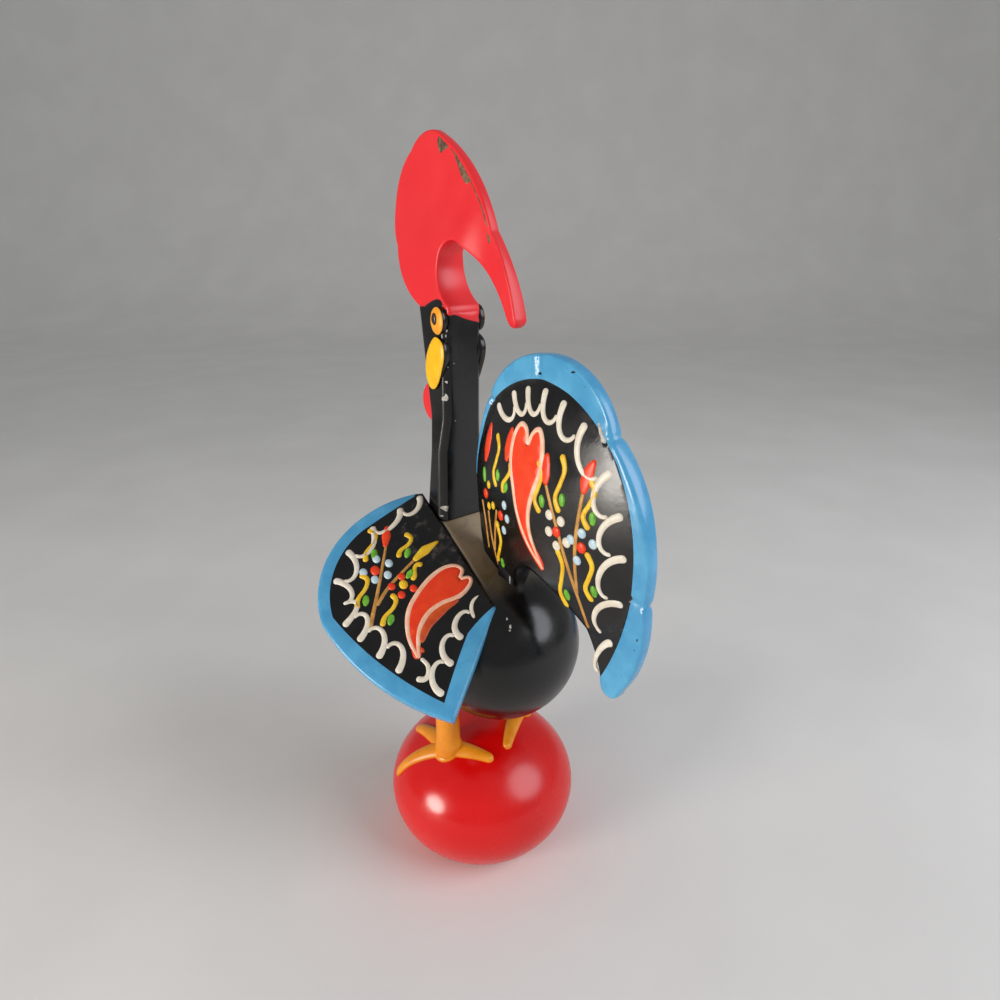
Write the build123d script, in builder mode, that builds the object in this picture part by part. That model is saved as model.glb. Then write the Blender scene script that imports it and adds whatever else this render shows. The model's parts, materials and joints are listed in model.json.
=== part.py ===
from build123d import *
import os
from math import cos, radians, sin, sqrt

# A free-standing folk ornament: a painted rooster on a red bun-shaped base.
# The rooster faces -Y, its left side is +X, and the origin is the centre of the flat underside.
# Every piece is a painted metal casting that plugs into its neighbour by a peg, spigot or tenon.

os.makedirs("parts", exist_ok=True)

# Room left round every plug in its socket, and above its end
fit_clearance = 0.1
socket_end_room = 0.3

# Base: a flattened ball cut flat underneath
base_radius = 24.3
base_rise = 18.8
base_waist_height = 14.4
base_edge_fillet = 1.2

# Body: a ball, with a ridge on its back that climbs to the neck
body_radius = 18.8
body_y = 7.9
body_z = 61.6
ridge_top_width = 13.2
ridge_top_z = 89.2
ridge_top_front = -14.0
ridge_top_back = -5.6
ridge_rear_width = 15.4
ridge_rear_z = 76.1
ridge_rear_front = -12.6
ridge_rear_back = 15.7
ridge_foot_width = 12.8
ridge_foot_z = 64.0
ridge_foot_front = -9.4
ridge_foot_back = 13.0
ridge_chamfer = 0.5

# Legs and feet
leg_diameter = 6.0
leg_spacing = 23.6
leg_y = 1.2
leg_depth_in_base = 7.0
leg_depth_in_body = 6.0
foot_hub_diameter = 9.6
toe_thickness = 1.5
toe_root_width = 4.4
toe_tip_width = 2.4
front_toe_length = 14.0
front_toe_turn = 6
outer_toe_length = 13.2
outer_toe_turn = 45
left_back_toe_length = 13.2
left_back_toe_turn = -147
right_back_toe_length = 16.0
right_back_toe_turn = -131

# Neck and head: an eight-sided column that ends in the head
neck_foot_width = 12.8
neck_foot_front = -13.4
neck_foot_back = -6.0
neck_waist_z = 106.0
neck_waist_width = 12.1
neck_waist_front = -11.5
neck_waist_back = -5.9
head_width = 10.4
head_foot_z = 114.0
head_foot_front = -12.2
head_foot_back = -4.9
head_top_z = 138.0
head_front = -15.4
head_back = -4.4
neck_chamfer = 1.4
neck_spigot_diameter = 5.6
neck_spigot_length = 8.0

# Comb: a wedge-shaped plate with three front lobes and a hook behind, heights from the top of the head
comb_front_notch = (-25.3, 12.4)
comb_top_notch = (-21.3, 31.8)
comb_crest = (-12.0, 34.8)
comb_rear_notch = (6.0, 15.6)
hook_tip = (14.0, -1.0)
hook_inner = (11.7, -2.2)
arch_top = (-2.4, 12.8)
arch_front = (-9.0, 9.6)
comb_lobe_rise = (2.1, 4.4, 1.4)
comb_back_rise = 2.8
hook_back_rise = 1.1
hook_end_rise = 0.9
hook_inner_rise = 1.7
arch_corner_rise = 2.4
comb_heel_rise = 1.7
comb_heel_inset = 0.8
comb_foot_thickness = 9.4
comb_arch_thickness = 6.4
blade_thickness = 2.4
comb_edge_thickness = 1.6
comb_arch_rise = 12.0
blade_rise = 22.0
blade_y = 3.0
comb_tenon_thickness = 3.0
comb_tenon_front = -12.5
comb_tenon_back = -7.5
comb_tenon_depth = 5.0

# Beak and wattle at the front of the head, their heights measured down from its top
beak_drop = 10.0
beak_width = 5.0
beak_height = 5.6
beak_length = 4.2
beak_tip_size = 1.0
beak_peg_diameter = 2.4
beak_peg_length = 2.6
wattle_top_drop = 18.2
wattle_height = 8.8
wattle_reach = 4.6
wattle_heel_drop = 5.6
wattle_front_rise = 5.6
wattle_back_rise = 0.8
wattle_thickness = 2.4
wattle_tenon_height = 4.0
wattle_tenon_depth = 2.4

# Eyes and earlobes on the sides of the head, also measured down from its top
eye_y = -7.8
eye_drop = 3.0
eye_width = 4.2
eye_height = 6.6
eye_thickness = 1.2
eye_edge_chamfer = 0.5
pupil_width = 1.6
pupil_height = 2.8
pupil_rise = 0.4
earlobe_y = -8.4
earlobe_drop = 12.0
earlobe_width = 5.8
earlobe_height = 11.6
earlobe_thickness = 1.6
earlobe_edge_fillet = 0.9
boss_peg_diameter = 2.2
boss_peg_length = 2.0

# Wings: flat plates that droop outwards from the ridge's edges
wing_droop = 24.0
wing_thickness = 2.4
wing_root_length = 34.8
wing_corner = (-15.8, 20.0)
wing_rim = ((-1.7, 29.5), (16.9, 34.7), (34.0, 20.1))
wing_edge_fillet = 0.5
wing_tenon_start = 7.0
wing_tenon_length = 12.0
wing_tenon_depth = 1.6
wing_tenon_shoulder = 1.4
wing_tenon_thickness = 0.9
wing_headroom = 14.0

# Tail: a scalloped fan on the centre plane, domed on both faces, on a short stem
tail_thickness = 2.4
tail_tip = (45.6, 67.4)
tail_tip_inner = (40.7, 67.6)
tail_notches = ((50.2, 88.9), (40.3, 119.0), (20.6, 131.6), (5.5, 121.0), (1.5, 97.4))
tail_front_end = (7.9, 75.4)
tail_lobe_rise = (2.1, 3.9, 4.5, 2.5, 2.2, 2.5)
tail_tip_rise = 2.2
tail_arch_z = 84.8
tail_arch_rise = 3.2
dome_centre_y = 25.0
dome_centre_z = 100.5
dome_radius = 25.0
dome_rise = 4.4
stem_thickness = 5.2
stem_front = 10.6
stem_back = 22.4
stem_top_z = 86.0
stem_foot_z = 61.0
stem_fillet = 1.6


# The base's flattened ball, grown all round: an upright half ellipse turned about Z and cut flat below
def base_ball(grown):
    radius = base_radius + grown
    rise = base_rise + grown
    pull = 4 / 3 * (sqrt(2) - 1)
    with BuildPart() as ball:
        with BuildSketch(Plane((0, 0, base_waist_height), x_dir=(1, 0, 0), z_dir=(0, -1, 0))):
            with BuildLine():
                Bezier((0, -rise), (pull * radius, -rise), (radius, -pull * rise), (radius, 0))
                Bezier((radius, 0), (radius, pull * rise), (pull * radius, rise), (0, rise))
                Line((0, rise), (0, -rise))
            make_face()
        revolve(axis=Axis.Z)
        split(bisect_by=Plane.XY)
    return ball.part


# Height of a ball's surface above its centre, at a distance from the upright axis
def ball_height(radius, rise, distance):
    return rise * sqrt(1 - (distance / radius) ** 2)


# An eight-sided section: a rectangle between two depths with its corners cut
def eight_sided(width, front, back, corner):
    with BuildSketch(mode=Mode.PRIVATE) as section:
        with Locations((0, (front + back) / 2)):
            Rectangle(width, back - front)
        chamfer(section.vertices(), corner)
    return section.sketch


leg_x = leg_spacing / 2
base_top_z = base_waist_height + base_rise
foot_z = base_waist_height + ball_height(base_radius, base_rise, sqrt(leg_x**2 + leg_y**2))
belly_distance = sqrt(leg_x**2 + (leg_y - body_y) ** 2)
belly_z = body_z - ball_height(body_radius, body_radius, belly_distance)
leg_bottom_z = foot_z - leg_depth_in_base
leg_top_z = belly_z + leg_depth_in_body
head_side_x = head_width / 2
beak_z = head_top_z - beak_drop
wattle_top_z = head_top_z - wattle_top_drop
eye_z = head_top_z - eye_drop
earlobe_z = head_top_z - earlobe_drop

# The plane of the left wing's upper face: x runs up the ridge's edge to the neck, y runs outwards
wing_root = Vector(ridge_rear_width / 2, ridge_rear_back, ridge_rear_z)
ridge_edge = Vector(ridge_top_width / 2, ridge_top_back, ridge_top_z) - wing_root
level_side = ridge_edge.cross(Vector(0, 0, 1)).normalized() * -1
level_up = level_side.cross(ridge_edge.normalized() * -1)
wing_up = level_up * cos(radians(wing_droop)) + level_side * sin(radians(wing_droop))
wing_plane = Plane(wing_root, x_dir=ridge_edge, z_dir=wing_up)
ridge_lean = (ridge_top_z - ridge_rear_z, 0, (ridge_rear_width - ridge_top_width) / 2)
ridge_side = Plane(wing_root, x_dir=(0, 1, 0), z_dir=ridge_lean)

# Base
with BuildPart() as base:
    add(base_ball(0))
    fillet(base.edges().group_by(Axis.Z)[0], base_edge_fillet)
    with Locations((-leg_x, leg_y, base_top_z), (leg_x, leg_y, base_top_z)):
        Hole(leg_diameter / 2 + fit_clearance, depth=base_top_z - leg_bottom_z + socket_end_room)
base.part.label = "base"
export_step(base.part, "parts/base.step")

# Legs: plain round posts between the base and the belly
for side, name in ((1, "left_leg"), (-1, "right_leg")):
    with BuildPart() as leg:
        with BuildSketch(Plane.XY.offset(leg_bottom_z)):
            with Locations((side * leg_x, leg_y)):
                Circle(leg_diameter / 2)
        extrude(amount=leg_top_z - leg_bottom_z)
    leg.part.label = name
    export_step(leg.part, f"parts/{name}.step")

# Feet: a hub with three toes, lying on the base like a skin and threaded over the leg
foot_underside = base_ball(fit_clearance)
foot_upperside = base_ball(toe_thickness)
for side, name, back_toe_length, back_toe_turn in (
    (1, "left_foot", left_back_toe_length, left_back_toe_turn),
    (-1, "right_foot", right_back_toe_length, right_back_toe_turn),
):
    with BuildPart() as foot:
        with BuildSketch(Plane.XY.offset(base_waist_height)):
            with Locations((side * leg_x, leg_y)):
                Circle(foot_hub_diameter / 2)
        extrude(amount=base_rise + toe_thickness)
        for length, turn in (
            (front_toe_length, front_toe_turn),
            (outer_toe_length, outer_toe_turn),
            (back_toe_length, back_toe_turn),
        ):
            toe_angle = radians(-90 + side * turn)
            with BuildSketch(Plane.XY.offset(base_waist_height)):
                with Locations((side * leg_x, leg_y)):
                    Circle(toe_root_width / 2)
                    with Locations((length * cos(toe_angle), length * sin(toe_angle))):
                        Circle(toe_tip_width / 2)
                make_hull()
            extrude(amount=base_rise + toe_thickness)
        add(foot_upperside, mode=Mode.INTERSECT)
        add(foot_underside, mode=Mode.SUBTRACT)
        with Locations((side * leg_x, leg_y, base_top_z + toe_thickness)):
            Hole(leg_diameter / 2 + fit_clearance)
    foot.part.label = name
    export_step(foot.part, f"parts/{name}.step")


# A wing's outline on its plane: a straight back edge and one long curve round to the root
def wing_outline():
    with BuildSketch(mode=Mode.PRIVATE) as outline:
        with BuildLine():
            back_edge = Line((0, 0), wing_corner)
            rim = Spline(wing_corner, *wing_rim, (wing_root_length, 0))
            Line(rim @ 1, back_edge @ 0)
        make_face()
    return outline.sketch


# The tenon at a wing's root, grown by a clearance for its socket
def wing_tenon(grown):
    with BuildSketch(mode=Mode.PRIVATE) as tenon:
        with Locations((wing_tenon_start + wing_tenon_length / 2, 0)):
            Rectangle(wing_tenon_length + 2 * grown, 2 * (wing_tenon_depth + grown))
    return tenon.sketch


# Wings: the right one is the left one's mirror image
with BuildPart() as left_wing:
    with BuildSketch(wing_plane):
        add(wing_outline())
    extrude(amount=-wing_thickness)
    split(bisect_by=ridge_side.offset(fit_clearance))
    upper_face = left_wing.faces().filter_by(wing_plane).sort_by(Axis.Z)[-1]
    fillet(upper_face.edges().sort_by(Axis.X)[1:], wing_edge_fillet)
    with BuildSketch(wing_plane.offset(-wing_tenon_shoulder)):
        add(wing_tenon(0))
    extrude(amount=-wing_tenon_thickness)
left_wing.part.label = "left_wing"
export_step(left_wing.part, "parts/left_wing.step")

with BuildPart() as right_wing:
    add(mirror(left_wing.part, about=Plane.YZ, mode=Mode.PRIVATE))
right_wing.part.label = "right_wing"
export_step(right_wing.part, "parts/right_wing.step")

# What a wing takes out of the body: a seat under the plate, clear air above it and a tenon socket
with BuildPart() as wing_room:
    with BuildSketch(wing_plane.offset(-wing_thickness - fit_clearance)):
        add(wing_outline())
    extrude(amount=wing_thickness + wing_headroom)
    split(bisect_by=ridge_side)
    with BuildSketch(wing_plane.offset(fit_clearance - wing_tenon_shoulder)):
        add(wing_tenon(fit_clearance))
    extrude(amount=-wing_tenon_thickness - 2 * fit_clearance)


# The tail fan's outline on the centre plane, with a cusp between neighbouring lobes
def tail_outline():
    with BuildSketch(mode=Mode.PRIVATE) as outline:
        with BuildLine():
            end = SagittaArc(tail_tip_inner, tail_tip, -tail_tip_rise) @ 1
            for corner, rise in zip(tail_notches + (tail_front_end,), tail_lobe_rise):
                end = SagittaArc(end, corner, -rise) @ 1
            under = Line(end, (stem_back, tail_arch_z))
            SagittaArc(under @ 1, tail_tip_inner, tail_arch_rise)
        make_face()
    return outline.sketch


# Tail: a flat fan, a lens that swells both faces, and the stem that plugs into the back
dome_half = tail_thickness / 2 + dome_rise
dome_sphere = (dome_radius**2 + dome_rise**2) / (2 * dome_rise)
stem_y = (stem_front + stem_back) / 2
with BuildPart() as tail_lens:
    with BuildSketch(Plane.YZ):
        add(tail_outline())
    extrude(amount=dome_half, both=True)
    for side in (1, -1):
        with Locations((side * (dome_half - dome_sphere), dome_centre_y, dome_centre_z)):
            Sphere(dome_sphere, mode=Mode.INTERSECT)

with BuildPart() as tail:
    with BuildSketch(Plane.YZ):
        add(tail_outline())
    extrude(amount=tail_thickness / 2, both=True)
    add(tail_lens.part)
    with BuildSketch(Plane.XY.offset(stem_foot_z)):
        with Locations((0, stem_y)):
            RectangleRounded(stem_thickness, stem_back - stem_front, stem_fillet)
    extrude(amount=stem_top_z - stem_foot_z)
tail.part.label = "tail"
export_step(tail.part, "parts/tail.step")

# Body: ball and ridge, with sockets for the wings, tail, neck and legs
neck_y = (ridge_top_front + ridge_top_back) / 2
with BuildPart() as body:
    with Locations((0, body_y, body_z)):
        Sphere(body_radius)
    with BuildSketch(Plane.XY.offset(ridge_foot_z)):
        add(eight_sided(ridge_foot_width, ridge_foot_front, ridge_foot_back, ridge_chamfer))
    with BuildSketch(Plane.XY.offset(ridge_rear_z)):
        add(eight_sided(ridge_rear_width, ridge_rear_front, ridge_rear_back, ridge_chamfer))
    with BuildSketch(Plane.XY.offset(ridge_top_z)):
        add(eight_sided(ridge_top_width, ridge_top_front, ridge_top_back, ridge_chamfer))
    loft(ruled=True)
    add(wing_room.part, mode=Mode.SUBTRACT)
    add(mirror(wing_room.part, about=Plane.YZ, mode=Mode.PRIVATE), mode=Mode.SUBTRACT)
    with BuildSketch(Plane.YZ):
        add(offset(tail_outline(), fit_clearance, mode=Mode.PRIVATE))
    extrude(amount=tail_thickness / 2 + fit_clearance, both=True, mode=Mode.SUBTRACT)
    with BuildSketch(Plane.XY.offset(stem_foot_z - socket_end_room)):
        with Locations((0, stem_y)):
            Rectangle(stem_thickness + 2 * fit_clearance, stem_back - stem_front + 2 * fit_clearance)
    extrude(amount=stem_top_z - stem_foot_z, mode=Mode.SUBTRACT)
    with Locations((0, neck_y, ridge_top_z)):
        Hole(neck_spigot_diameter / 2 + fit_clearance, depth=neck_spigot_length + socket_end_room)
    with BuildSketch(Plane.XY.offset(body_z - body_radius)):
        with Locations((-leg_x, leg_y), (leg_x, leg_y)):
            Circle(leg_diameter / 2 + fit_clearance)
    extrude(amount=leg_top_z - body_z + body_radius + socket_end_room, mode=Mode.SUBTRACT)
body.part.label = "body"
export_step(body.part, "parts/body.step")


# Depth of the head's front face at a height between its foot and its top
def face_depth(z):
    share = (z - head_foot_z) / (head_top_z - head_foot_z)
    return head_foot_front + share * (head_front - head_foot_front)


face_lean = (0, head_foot_z - head_top_z, head_front - head_foot_front)
face_plane = Plane((0, face_depth(beak_z), beak_z), x_dir=(1, 0, 0), z_dir=face_lean)
comb_tenon_y = (comb_tenon_front + comb_tenon_back) / 2
comb_tenon_length = comb_tenon_back - comb_tenon_front
wattle_tenon_z = wattle_top_z - wattle_heel_drop / 2


# The plane of one side of the head, facing outwards, at a boss
def head_side(side, y, z):
    return Plane((side * head_side_x, y, z), x_dir=(0, side, 0), z_dir=(side, 0, 0))


# Neck and head, with a spigot below and sockets for the comb, beak, wattle, eyes and earlobes
with BuildPart() as neck:
    with BuildSketch(Plane.XY.offset(ridge_top_z)):
        add(eight_sided(neck_foot_width, neck_foot_front, neck_foot_back, neck_chamfer))
    with BuildSketch(Plane.XY.offset(neck_waist_z)):
        add(eight_sided(neck_waist_width, neck_waist_front, neck_waist_back, neck_chamfer))
    with BuildSketch(Plane.XY.offset(head_foot_z)):
        add(eight_sided(head_width, head_foot_front, head_foot_back, neck_chamfer))
    with BuildSketch(Plane.XY.offset(head_top_z)):
        add(eight_sided(head_width, head_front, head_back, neck_chamfer))
    loft(ruled=True)
    with BuildSketch(Plane.XY.offset(ridge_top_z)):
        with Locations((0, neck_y)):
            Circle(neck_spigot_diameter / 2)
    extrude(amount=-neck_spigot_length)
    with BuildSketch(Plane.XY.offset(head_top_z)):
        with Locations((0, comb_tenon_y)):
            Rectangle(comb_tenon_thickness + 2 * fit_clearance, comb_tenon_length + 2 * fit_clearance)
    extrude(amount=-comb_tenon_depth - socket_end_room, mode=Mode.SUBTRACT)
    with Locations(face_plane):
        Hole(beak_peg_diameter / 2 + fit_clearance, depth=beak_peg_length + socket_end_room)
    with BuildSketch(Plane.YZ):
        with Locations((face_depth(wattle_tenon_z), wattle_tenon_z)):
            Rectangle(
                2 * (wattle_tenon_depth + socket_end_room), wattle_tenon_height + 2 * fit_clearance
            )
    extrude(amount=wattle_thickness / 2 + fit_clearance, both=True, mode=Mode.SUBTRACT)
    for side in (1, -1):
        with Locations(head_side(side, eye_y, eye_z), head_side(side, earlobe_y, earlobe_z)):
            Hole(boss_peg_diameter / 2 + fit_clearance, depth=boss_peg_length + socket_end_room)
neck.part.label = "neck"
export_step(neck.part, "parts/neck.step")

# Comb: its outline on the centre plane, thinned to a wedge in height and towards the hook
comb_heel_y = head_back - comb_heel_inset
comb_top_rise = comb_crest[1] + comb_lobe_rise[2]
comb_back_y = hook_tip[0] + hook_end_rise
comb_front_y = comb_front_notch[0] - comb_foot_thickness
head_top = (0, 0, head_top_z)
with BuildPart() as comb:
    with BuildSketch(Plane(head_top, x_dir=(0, 1, 0), z_dir=(1, 0, 0))):
        with BuildLine():
            lobe = SagittaArc((head_front, 0), comb_front_notch, comb_lobe_rise[0])
            lobe = SagittaArc(lobe @ 1, comb_top_notch, comb_lobe_rise[1])
            lobe = SagittaArc(lobe @ 1, comb_crest, comb_lobe_rise[2])
            back = SagittaArc(lobe @ 1, comb_rear_notch, comb_back_rise)
            back = SagittaArc(back @ 1, hook_tip, hook_back_rise)
            hook = SagittaArc(back @ 1, hook_inner, hook_end_rise)
            inner = SagittaArc(hook @ 1, arch_top, -hook_inner_rise)
            inner = SagittaArc(inner @ 1, arch_front, -arch_corner_rise)
            heel = SagittaArc(inner @ 1, (comb_heel_y, 0), -comb_heel_rise)
            Line(heel @ 1, (head_front, 0))
        make_face()
    extrude(amount=comb_foot_thickness / 2, both=True)
    with BuildSketch(Plane(head_top, x_dir=(1, 0, 0), z_dir=(0, -1, 0))):
        with BuildLine():
            Polyline(
                (0, -beak_drop),
                (comb_foot_thickness / 2, -beak_drop),
                (comb_foot_thickness / 2, 0),
                (comb_arch_thickness / 2, comb_arch_rise),
                (blade_thickness / 2, blade_rise),
                (comb_edge_thickness / 2, comb_top_rise),
                (0, comb_top_rise),
                close=True,
            )
        make_face()
        mirror(about=Plane.YZ)
    extrude(amount=2 * base_radius, both=True, mode=Mode.INTERSECT)
    with BuildSketch(Plane.XY):
        with BuildLine():
            Polyline(
                (0, comb_front_y),
                (comb_foot_thickness / 2, comb_front_y),
                (comb_foot_thickness / 2, comb_heel_y),
                (comb_arch_thickness / 2, arch_top[0]),
                (blade_thickness / 2, blade_y),
                (comb_edge_thickness / 2, comb_back_y),
                (0, comb_back_y),
                close=True,
            )
        make_face()
        mirror(about=Plane.YZ)
    extrude(amount=2 * head_top_z, mode=Mode.INTERSECT)
    with BuildSketch(Plane.XY.offset(head_top_z)):
        with Locations((0, comb_tenon_y)):
            Rectangle(comb_tenon_thickness, comb_tenon_length)
    extrude(amount=-comb_tenon_depth)
comb.part.label = "comb"
export_step(comb.part, "parts/comb.step")

# Beak: a short drooping cone with a peg
with BuildPart() as beak:
    with BuildSketch(face_plane):
        Ellipse(beak_width / 2, beak_height / 2)
    with BuildSketch(face_plane.offset(beak_length)):
        with Locations((0, -beak_height / 4)):
            Ellipse(beak_tip_size / 2, beak_tip_size / 2)
    loft()
    with BuildSketch(face_plane):
        Circle(beak_peg_diameter / 2)
    extrude(amount=-beak_peg_length)
beak.part.label = "beak"
export_step(beak.part, "parts/beak.step")

# Wattle: a drop-shaped plate under the beak, let into the front of the neck
wattle_heel_z = wattle_top_z - wattle_heel_drop
wattle_heel_y = face_depth(wattle_heel_z)
wattle_root_y = face_depth(wattle_top_z)
wattle_tip = (wattle_root_y - wattle_reach, wattle_top_z - wattle_height)
with BuildPart() as wattle:
    with BuildSketch(Plane.YZ):
        with BuildLine():
            root = Line((wattle_heel_y, wattle_heel_z), (wattle_root_y, wattle_top_z))
            front = SagittaArc(root @ 1, wattle_tip, -wattle_front_rise)
            SagittaArc(front @ 1, root @ 0, -wattle_back_rise)
        make_face()
        with Locations((face_depth(wattle_tenon_z) + wattle_tenon_depth / 2, wattle_tenon_z)):
            Rectangle(wattle_tenon_depth, wattle_tenon_height)
    extrude(amount=wattle_thickness / 2, both=True)
wattle.part.label = "wattle"
export_step(wattle.part, "parts/wattle.step")

# Eyes: an oval boss with a raised pupil, and earlobes: a plump oval, both on pegs
for side, hand in ((1, "left"), (-1, "right")):
    eye_plane = head_side(side, eye_y, eye_z)
    with BuildPart() as eye:
        with BuildSketch(eye_plane):
            Ellipse(eye_width / 2, eye_height / 2)
        extrude(amount=eye_thickness)
        chamfer(eye.faces().sort_by(Axis(eye_plane.origin, eye_plane.z_dir))[-1].edges(), eye_edge_chamfer)
        with BuildSketch(eye_plane.offset(eye_thickness)):
            Ellipse(pupil_width / 2, pupil_height / 2)
        extrude(amount=pupil_rise)
        with BuildSketch(eye_plane):
            Circle(boss_peg_diameter / 2)
        extrude(amount=-boss_peg_length)
    eye.part.label = f"{hand}_eye"
    export_step(eye.part, f"parts/{hand}_eye.step")
    lobe_plane = head_side(side, earlobe_y, earlobe_z)
    with BuildPart() as earlobe:
        with BuildSketch(lobe_plane):
            Ellipse(earlobe_width / 2, earlobe_height / 2)
        extrude(amount=earlobe_thickness)
        outer_face = earlobe.faces().sort_by(Axis(lobe_plane.origin, lobe_plane.z_dir))[-1]
        fillet(outer_face.edges(), earlobe_edge_fillet)
        with BuildSketch(lobe_plane):
            Circle(boss_peg_diameter / 2)
        extrude(amount=-boss_peg_length)
    earlobe.part.label = f"{hand}_earlobe"
    export_step(earlobe.part, f"parts/{hand}_earlobe.step")
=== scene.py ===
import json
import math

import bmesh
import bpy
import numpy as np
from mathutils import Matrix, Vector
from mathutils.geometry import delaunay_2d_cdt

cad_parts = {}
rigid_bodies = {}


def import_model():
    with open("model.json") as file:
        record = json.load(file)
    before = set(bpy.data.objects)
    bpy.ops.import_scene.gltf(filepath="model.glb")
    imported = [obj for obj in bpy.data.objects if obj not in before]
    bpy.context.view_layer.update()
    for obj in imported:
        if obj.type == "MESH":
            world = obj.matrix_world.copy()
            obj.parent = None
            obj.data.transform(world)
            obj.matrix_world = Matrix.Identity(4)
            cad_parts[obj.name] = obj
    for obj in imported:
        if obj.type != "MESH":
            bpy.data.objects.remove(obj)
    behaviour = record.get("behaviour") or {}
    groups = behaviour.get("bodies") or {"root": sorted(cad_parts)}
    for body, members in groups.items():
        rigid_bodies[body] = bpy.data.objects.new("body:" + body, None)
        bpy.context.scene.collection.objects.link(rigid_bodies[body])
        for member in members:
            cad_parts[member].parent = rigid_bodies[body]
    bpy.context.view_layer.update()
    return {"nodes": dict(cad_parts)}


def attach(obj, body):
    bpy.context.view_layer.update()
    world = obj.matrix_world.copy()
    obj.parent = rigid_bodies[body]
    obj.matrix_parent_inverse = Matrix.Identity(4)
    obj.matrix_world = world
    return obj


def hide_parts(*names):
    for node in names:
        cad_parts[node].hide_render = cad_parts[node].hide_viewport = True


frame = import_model()

# %% [markdown]
# # A painted cast rooster
# The object is a folk souvenir about seventeen centimetres tall: a black rooster with a red comb,
# blue-edged wings and a blue-edged fan of a tail, standing on a red bun of a base.
# The real one is put together from small metal castings and then painted by hand with glossy enamel.
# The engineering model is loaded above, one named solid for each casting, in metres.
# Here every casting gets a softer skin that takes its place, and on top of it the brush work.
# Enamel lies thick on such figures, so each brush stroke is a thin raised ribbon of mesh, not a picture.

MM = 0.001
chance = np.random.default_rng(11)
print("nodes to dress:", sorted(frame["nodes"]))

# %% [markdown]
# ## Enamel
# Enamel is a pigment in a clear hard binder: a dielectric with a refractive index of about 1.5.
# It is never one flat colour. The brush leaves the coat thin in one place and thick in the next,
# so each paint wanders between two tones over patches a few millimetres wide.
# Its gloss wanders too, and a fine bump stands for the brush's bristle marks.
# Real bristle marks are about 0.1 mm apart. That is finer than a pixel here, so they are drawn at 0.9 mm.
# A painted picture could give all this too, but noise in the object's own space has no seams.

# %% The enamel recipe
def linear(code):
    """Turn an sRGB hex code into the linear colour that a shader works with."""
    parts = [int(code[i:i + 2], 16) / 255 for i in (1, 3, 5)]
    return [c / 12.92 if c <= 0.04045 else ((c + 0.055) / 1.055) ** 2.4 for c in parts] + [1.0]


def add_node(tree, kind, settings=None, sockets=None):
    """Add one node, give it its settings, then fill each named or numbered input or link it."""
    made = tree.nodes.new(kind)
    for key, value in (settings or {}).items():
        setattr(made, key, value)
    for key, value in (sockets or {}).items():
        if isinstance(value, bpy.types.NodeSocket):
            tree.links.new(value, made.inputs[key])
        else:
            made.inputs[key].default_value = value
    return made


def noise(tree, spot, size, detail):
    """A value that wanders over patches of about the given size (mm)."""
    sockets = {"Vector": spot, "Scale": 1 / (size * MM), "Detail": detail}
    return add_node(tree, "ShaderNodeTexNoise", None, sockets).outputs["Fac"]


ENAMEL_IOR, COAT_ROUGHNESS, BRISTLE_RISE = 1.5, 0.08, 0.03
TONE_STOPS = (0.38, 0.68)
GLOSS_STOPS, GLOSS_SWING = (0.3, 0.7), (-0.05, 0.09)


def enamel(name, thick, thin, patch_mm, roughness, bristle_mm=0.9, coat=0.0):
    """Make a brushed enamel that wanders from its thick tone to its thin one."""
    material = bpy.data.materials.new(name)
    material.use_nodes = True
    tree = material.node_tree
    shader = tree.nodes["Principled BSDF"]
    spot = add_node(tree, "ShaderNodeTexCoord").outputs["Object"]
    patches = noise(tree, spot, patch_mm, 4.0)
    tone = add_node(tree, "ShaderNodeValToRGB", None, {"Fac": patches})
    for stop, place, code in zip(tone.color_ramp.elements, TONE_STOPS, (thick, thin)):
        stop.position = place
        stop.color = linear(code)
    gloss = add_node(
        tree, "ShaderNodeMapRange", None,
        {
            "Value": patches, "From Min": GLOSS_STOPS[0], "From Max": GLOSS_STOPS[1],
            "To Min": roughness + GLOSS_SWING[0], "To Max": roughness + GLOSS_SWING[1],
        },
    )
    bristles = noise(tree, spot, bristle_mm, 2.0)
    bump = add_node(
        tree, "ShaderNodeBump", None,
        {"Height": bristles, "Distance": BRISTLE_RISE * MM, "Strength": 0.5},
    )
    tree.links.new(tone.outputs["Color"], shader.inputs["Base Color"])
    tree.links.new(gloss.outputs["Result"], shader.inputs["Roughness"])
    tree.links.new(bump.outputs["Normal"], shader.inputs["Normal"])
    shader.inputs["IOR"].default_value = ENAMEL_IOR
    shader.inputs["Coat Weight"].default_value = coat
    shader.inputs["Coat Roughness"].default_value = COAT_ROUGHNESS
    return material


print("refractive index of enamel:", ENAMEL_IOR)

# %% [markdown]
# Now the recipe is mixed for each pot of paint: two tones, the width of its patches in millimetres,
# and how rough it is. One paint in many colours would be simpler, but each one dried in its own way.

# %% The paints
# The base was dipped, so its red is deep and even, with a soft round glint.
base_red = enamel("Red enamel, dipped to a gloss", "#D40605", "#DA0B09", 14, 0.22, 3.0)
# The comb was brushed, so its scarlet is lighter and its highlights are wide and soft.
comb_red = enamel("Scarlet enamel, brushed on", "#E8222A", "#EB282E", 9, 0.34)
# Black enamel rubbed by handling: a warm near black with a soft sheen that shows every edge.
black = enamel("Black enamel, brushed and handled", "#060505", "#0F0C0A", 5, 0.22)
# Blue goes on in one loaded stroke round the rim, so it is a little lighter where it ran thin.
blue = enamel("Sky blue enamel, one loaded stroke", "#4799C8", "#57ABD6", 6, 0.24, 1.4, 0.2)
# Leg yellow has an orange undertone where the coat pooled.
leg_yellow = enamel("Amber enamel, brushed on", "#E68812", "#EE981E", 4, 0.32)
# The eye and the earlobe are single dabs, so they are even and bright.
eye_orange = enamel("Orange enamel, dabbed on", "#F39C1C", "#F8B432", 2, 0.3)
lobe_yellow = enamel("Lemon enamel, dabbed on", "#F6B802", "#FAC40C", 3, 0.3)
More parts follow.
